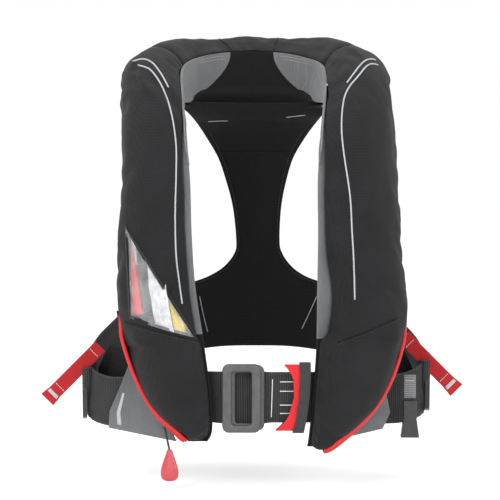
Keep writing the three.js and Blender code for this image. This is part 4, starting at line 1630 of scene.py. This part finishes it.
@dataclass
class Buckle:
    """The two grey frames that the front belts meet in."""

    bar: float = 0.0092
    thick: float = 0.0046

    def build(self, maker: Maker) -> None:
        """Make both frames."""
        for name, node, body in (("front_buckle_frame", "buckle_front_frame", "front_frame"),
                                 ("back_buckle_frame", "buckle_back_frame", JACKET)):
            low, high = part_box(node)
            size, middle = high - low, (low + high) / 2
            hole = (size.x - 2 * self.bar, size.z - 2 * (self.bar - 0.0016))
            bm = framed_plate(size.x, size.z, hole, (0.0068, 0.003), size.y, 0.0014)
            bmesh.ops.translate(bm, verts=bm.verts[:], vec=middle)
            maker.piece(name, bm, "frame_grey", "plastic_grey", body=body, replaces=[node])


@dataclass
class HarnessLoop:
    """Loop of black webbing round the belt, with a red lining that shows past it."""

    grow: float = 0.0035
    bow: float = 0.0022

    def _ring(self, maker: Maker, name: str, node: str, wall: float, finish: str,
              inset: float, slant: float, flare: float) -> None:
        """One band of the loop.

        Args:
            maker: makes the piece.
            name: name of the piece.
            node: node that it replaces.
            wall: thickness of its webbing.
            finish: material name, and its slot's.
            inset: how far its edge towards the buckle stays back from the node's.
            slant: how far its edge leans over its height, in metres.
            flare: how far that edge turns out at the top and the foot.
        """
        low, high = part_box(node)
        size, middle = high - low, (low + high) / 2
        across, tall = size.y - wall, size.z - wall

        def place(u: float, v: float) -> Vector:
            """Point of the band."""
            turn = 2 * math.pi * v
            c, s = math.cos(turn), math.sin(turn)
            y = math.copysign(abs(c) ** 0.45, c) * across / 2
            z = math.copysign(abs(s) ** 0.22, s) * tall / 2
            turned = flare * abs(2 * z / size.z) ** 2.8 * (1 - u)
            x = low.x + inset + (size.x + self.grow - inset) * u + self.bow * (1 - (2 * z / size.z) ** 2)
            return Vector((x + slant * z / size.z - turned, middle.y + y, middle.z + z))

        bm = grid_mesh(10, 96, place, (size.x, 2 * (across + tall)))
        bmesh.ops.remove_doubles(bm, verts=bm.verts[:], dist=JOIN)
        obj = maker.piece(name, bm, finish, finish, body="loop", replaces=[node], recalc=True)
        thicken(obj, wall, 0.0, round_edge=0.0004)

    def build(self, maker: Maker) -> None:
        """Make the loop and its lining."""
        self._ring(maker, "harness_loop_webbing", "harness_loop", 0.0018, "webbing_black", 0.008,
                   0.007, 0.001)
        self._ring(maker, "harness_loop_red", "harness_loop_lining", 0.0014, "webbing_red", 0.012,
                   0.009, 0.0125)


@dataclass
class SideFittings:
    """Adjusters, red pull tabs and grey wings at the sides."""

    wing_rows: dict = field(default_factory=lambda: {
        Side.RIGHT: ((-320, -118, -130, -66, -61), (-350, -118, -142, -66, -59),
                     (-376, -116, -153, -66, -57), (-394, -114, -154, -66, -57)),
        Side.LEFT: ((-346, 120, 142, -74, -64), (-376, 112, 148, -75, -62),
                    (-394, 108, 140, -76, -64)),
    })
    tab_width: float = 0.015
    tab_length: float = 0.058
    tab_roots: dict = field(default_factory=lambda: {
        Side.RIGHT: (-187.5, -26, -330), Side.LEFT: (197, -24, -320)})
    tab_tuck: dict = field(default_factory=lambda: {Side.RIGHT: 0.007, Side.LEFT: 0.016})
    tab_lift: float = 0.006
    tab_start: float = -0.34
    cloth_rows: dict = field(default_factory=lambda: {
        Side.RIGHT: ((-294, -122, -134, -40, 8), (-312, -122, -158, -50, 6), (-336, -118, -170, -56, 6),
                     (-350, -116, -170, -56, 4), (-362, -116, -167, -56, 2)),
        Side.LEFT: ((-300, 138, 148, -40, 8), (-316, 134, 168, -52, 6), (-338, 128, 178, -56, 5),
                    (-350, 124, 178, -56, 3), (-360, 120, 176, -56, 2)),
    })
    keeper_height: float = 0.047
    wing_reach: float = 34.0
    wing_drop: float = 10.0
    wing_forward: float = 20.0

    def build(self, maker: Maker) -> None:
        """Make the tabs and wings, and finish the adjusters."""
        for side in Side:
            maker.dress(f"{side.word}_adjuster", "moulded_black", 0.0007)
            self._tab(maker, side)
            self._wing(maker, side)
            self._side_cloth(maker, side)
            self._keeper(maker, side)

    def _side_cloth(self, maker: Maker, side: Side) -> None:
        """Black side cloth between a lobe's edge and the belt, folded over the webbing."""
        rows = self.cloth_rows[side]

        def place(u: float, v: float) -> Vector:
            """Point of the side cloth."""
            z, x0, x1, y0, y1 = table_row(rows, u)
            fold = 1.8 * noise.noise(Vector((v * 3.4 + u * 2.2, u * 1.2, side.value)))
            return FORM.at(x0 + (x1 - x0) * v, y0 + (y1 - y0) * v + 2 * fold, z + fold)

        bm = grid_mesh(40, 30, place)
        area = area_of(bm)
        obj = maker.piece(f"{side.word}_side_cloth", bm, "cloth_inner_black", "fabric_black")
        thicken(obj, 0.0016, 0.0, round_edge=0.0005)

    def _keeper(self, maker: Maker, side: Side) -> None:
        """Webbing threaded through an adjuster, lying against the belt."""
        low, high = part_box(f"{side.word}_adjuster")
        size, middle = high - low, (low + high) / 2
        toward = Vector((-side.value * 0.004, 0, 0))

        def place(u: float, v: float) -> Vector:
            """Point of the threaded webbing."""
            turn = 2 * math.pi * u
            z = (v - 0.5) * self.keeper_height
            lean = (middle - low).y * 0.62 * (z / (size.z / 2))
            return middle + toward + Vector((0.0052 * math.cos(turn), 0.0062 * math.sin(turn) - lean, z))

        bm = grid_mesh(40, 14, place, (0.036, self.keeper_height))
        bmesh.ops.remove_doubles(bm, verts=bm.verts[:], dist=JOIN)
        obj = maker.piece(f"{side.word}_adjuster_webbing", bm, "webbing_black", "webbing_black",
                          body=f"adjuster_{side.word}", recalc=True)
        thicken(obj, 0.0014, 0.0, round_edge=0.0003)

    def _tab(self, maker: Maker, side: Side) -> None:
        """Folded red tab with its sewn end and reflective mark."""
        tuck = self.tab_tuck[side]
        root = FORM.at(*self.tab_roots[side]) + Vector((-side.value * tuck, 0, self.tab_lift))
        run = Vector((side.value * 0.7, -0.08, -0.7)).normalized()
        face = (Vector((0, -1, 0)) + run * run.y).normalized()
        across = run.cross(face)
        body = f"tab_{side.word}"

        def place(u: float, v: float) -> Vector:
            """Point of the tab, wider at its folded end."""
            u = self.tab_start + (1.0 - self.tab_start) * u
            grow = 1.0 + 0.18 * max(0.0, (u - 0.78) / 0.22)
            sag = 0.0012 * math.sin(math.pi * u) - 0.0006 * math.exp(-((u - 0.78) / 0.03) ** 2)
            return (root + run * (self.tab_length * u) + face * sag
                    + across * (self.tab_width * grow * (v - 0.5)))

        bm = grid_mesh(48, 8, place, (self.tab_length, self.tab_width))
        tab = maker.piece(f"{side.word}_red_tab", bm, "tab_red", "webbing_red", body=body,
                          replaces=[f"{side.word}_pull_tab"])
        thicken(tab, 0.0022, 0.0, round_edge=0.0005)
        mark = grid_mesh(4, 8, lambda u, v: place(0.86 + 0.05 * u, 0.1 + 0.8 * v) + face * 0.0014)
        obj = maker.piece(f"{side.word}_tab_mark", mark, "reflective_silver", "webbing_grey",
                          body=body)
        thicken(obj, 0.0003, 0.0)
        for number, u in enumerate((0.12, 0.76)):
            row = [place(u, 0.1 + 0.8 * i / 8) + face * 0.0014 for i in range(9)]
            maker.piece(f"{side.word}_tab_stitch_{number}", stitches(row, pitch=2.4, length=1.7),
                        "thread_white", "webbing_red", body=body)

    def _wing(self, maker: Maker, side: Side) -> None:
        """Grey wing of lining cloth behind a lobe's lower edge."""
        rows = self.wing_rows[side]

        def place(u: float, v: float) -> Vector:
            """Point of the wing."""
            z, x0, x1, y0, y1 = table_row(rows, u)
            wave = 1.2 * math.sin(u * 5 + v * 2.6)
            reach = side.value * -self.wing_reach * (1 - v) * u
            drop = self.wing_drop * (1 - v) * u ** 3
            front = self.wing_forward * (1 - v) * u
            return FORM.at(x0 + (x1 - x0) * v + reach, y0 + (y1 - y0) * v + wave - front, z - drop)

        bm = grid_mesh(36, 18, place)
        area = area_of(bm)
        obj = maker.piece(f"{side.word}_wing_cloth", bm, "lining_grey", "fabric_grey",
                          replaces=[f"{side.word}_side_wing"])
        thicken(obj, 0.0024, 0.0, round_edge=0.0008)
        if side is Side.RIGHT:
            strip = grid_mesh(20, 3, lambda u, v: place(0.40 + 0.5 * u, 0.80 + 0.07 * v)
                              + Vector((0, -0.0016, 0)))
            mark = maker.piece("right_wing_mark", strip, "reflective_silver", "webbing_grey")
            thicken(mark, 0.0004, 0.0)


@dataclass
class LegStrap:
    """Short grey strap and the socket that hangs from it."""

    def build(self, maker: Maker) -> None:
        """Make the strap and the socket."""
        low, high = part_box("leg_strap_hanger")
        size, middle = high - low, (low + high) / 2
        bm = grid_mesh(20, 4, lambda u, v: Vector((low.x + size.x * v, middle.y, high.z - size.z * u)),
                       (size.z, size.x))
        strap = maker.piece("leg_strap_short", bm, "webbing_grey", "webbing_grey", body="hanger",
                            replaces=["leg_strap_hanger"])
        thicken(strap, size.y * 0.9, 0.0, round_edge=0.0005)
        row = [Vector((low.x + size.x * (0.12 + 0.76 * i / 6), low.y - 0.0003, high.z - 0.006))
               for i in range(7)]
        maker.piece("leg_strap_stitch", stitches(row, pitch=2.2, length=1.6), "thread_white",
                    "webbing_grey", body="hanger")
        maker.dress("leg_strap_socket", "moulded_black", 0.0009)


@dataclass
class Inflator:
    """Inflator behind the window, its cylinder and lever, and the window's pane and border."""

    surface: BVHTree
    binding: tuple = (((-127.5, -176), (-126, -215), (-123.5, -257)),
                      ((-122.5, -184), (-117.5, -216), (-111.5, -255)))

    def build(self, maker: Maker) -> None:
        """Finish the inflator's parts and the pane."""
        maker.dress("inflator_body", "inflator_grey", 0.0016)
        maker.dress("inflator_cap", "moulded_black", 0.0008)
        maker.dress("firing_lever", "moulded_black", 0.0006)
        maker.dress("gas_cylinder", "cylinder_steel")
        maker.dress("window_pane", "clear_window")
        self._binding(maker)
        self._guard(maker)
        self._border(maker)

    def _inner(self, k: float, s: float, share: float) -> Vector:
        """Point inside the right lobe.

        Args:
            k: station along the lobe.
            s: share from the neck edge to the outer edge.
            share: share of the way up to the skin.

        Returns:
            The point.
        """
        near, far = FORM.neck_edge(k), FORM.outer_edge(k)
        far -= (far - near).normalized() * FORM.side_inset(k)
        return near.lerp(far, s) + FORM.outward(k) * (FORM.fullness(k) * crown(s) * share)

    def _binding(self, maker: Maker) -> None:
        """Red binding inside the window, along its outer side."""
        pane = surface_of(maker.nodes["window_pane"])
        edges = [VIEW.lay(pane, line, 30, -0.0035) for line in self.binding]

        def place(u: float, v: float) -> Vector:
            """Point of the binding."""
            near, far = (e[min(len(e) - 1, round(u * (len(e) - 1)))] for e in edges)
            return near.lerp(far, v)

        bm = grid_mesh(28, 6, place)
        obj = maker.piece("window_binding", bm, "webbing_red", "webbing_red")
        thicken(obj, 0.001, 0.0)

    def _guard(self, maker: Maker) -> None:
        """Crumpled pale sheet laid over the bladder behind the window."""
        def place(u: float, v: float) -> Vector:
            """Point of the sheet."""
            k, s = -8.5 - 2.0 * u, 0.2 + 0.2 * v - 0.03 * u
            crumple = noise.noise(Vector((u * 7, v * 5, 1))) + 0.5 * noise.noise(Vector((u * 16, v * 13, 4)))
            return self._inner(k, s, 0.8 + 0.035 * crumple)

        bm = grid_mesh(50, 30, place)
        area = area_of(bm)
        obj = maker.piece("bladder_guard", bm, "foil_white", "bladder")
        thicken(obj, 0.0005, 0.0)

    def _border(self, maker: Maker) -> None:
        """Border stitching round the window."""
        corners = [FORM.at(x, 0, z) * 1000 for x, z in WINDOW]
        middle = sum(corners, Vector()) / 3
        ring = [middle + (c - middle) * 1.07 for c in corners]
        for number, (a, b) in enumerate(zip(ring, ring[1:] + ring[:1])):
            line = [(p.x, p.z) for p in (a, a.lerp(b, 0.5), b)]
            points = VIEW.lay(self.surface, line, 24, 0.0006)
            maker.tube(f"window_border_{number}", points, 0.0008, "thread_black", "fabric_black",
                       flat=0.6, steps=30)


@dataclass
class OralKit:
    """Oral tube with its cap, and the whistle, inside the left lobe."""

    def build(self, maker: Maker) -> None:
        """Finish the three pieces."""
        maker.dress("oral_tube", "moulded_black")
        maker.dress("oral_cap", "toggle_red", 0.0008)
        maker.dress("whistle", "toggle_red", 0.0012)


@dataclass
class PullCord:
    """Cord from the firing lever to the red toggle below the lobe."""

    start: tuple = (-0.1087, -0.0891, -0.272)
    radius: float = 0.0011

    def build(self, maker: Maker) -> None:
        """Make the toggle and the cord."""
        low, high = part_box("pull_toggle")
        top = Vector(((low.x + high.x) / 2, (low.y + high.y) / 2, high.z))
        size = high - low
        toggle = self._toggle(maker, top, size)
        route = [Vector(self.start).lerp(top + Vector((0, 0, -0.001)), i / 20) for i in range(21)]
        cord = maker.tube("toggle_cord", route, self.radius, "thread_black", "webbing_black",
                          body="toggle", steps=60, replaces=["pull_cord"])
        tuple(self.start)
        path_length(route)

    def _toggle(self, maker: Maker, top: Vector, size: Vector) -> bpy.types.Object:
        """Drop-shaped toggle, turned and then flattened.

        Args:
            maker: makes the piece.
            top: where the cord enters it.
            size: its width, depth and height.

        Returns:
            The piece.
        """
        outline = ((0.0, 0.0), (0.14, 0.0), (0.16, 0.03), (0.2, 0.12), (0.34, 0.34), (0.46, 0.58),
                   (0.5, 0.74), (0.46, 0.88), (0.34, 0.96), (0.18, 0.995), (0.0, 1.0))
        bm = bmesh.new()
        line = smooth_path([Vector((x * size.x, 0, -z * size.z)) for x, z in outline], 40)
        verts = [bm.verts.new((max(0.0, p.x), 0, p.z)) for p in line]
        edges = [bm.edges.new(pair) for pair in zip(verts, verts[1:])]
        bmesh.ops.spin(bm, geom=[*verts, *edges], cent=(0, 0, 0), axis=(0, 0, 1), angle=2 * math.pi,
                       steps=36, use_merge=True)
        bmesh.ops.remove_doubles(bm, verts=bm.verts[:], dist=0.00003)
        bmesh.ops.scale(bm, vec=(1, size.y / size.x, 1), verts=bm.verts[:])
        bmesh.ops.translate(bm, vec=top, verts=bm.verts[:])
        return maker.piece("drop_toggle", bm, "toggle_red", "plastic_red", body="toggle",
                           replaces=["pull_toggle"], recalc=True)


def main(nodes: dict) -> None:
    """Build every part of the jacket in order."""
    maker = Maker(Wardrobe(), nodes)
    Studio().build()
    PullCord().build(maker)
    covers = Covers()
    covers.build(maker)
    skin = covers.surface()
    Trim(skin).build(maker)
    Bladder().build(maker)
    Linings().build(maker)
    belt = WaistBelt()
    BackPanel().build(maker, belt)
    belt.build(maker)
    Buckle().build(maker)
    HarnessLoop().build(maker)
    SideFittings().build(maker)
    LegStrap().build(maker)
    Inflator(skin).build(maker)
    OralKit().build(maker)


if __name__ == "__main__":
    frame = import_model()
    main(frame["nodes"])
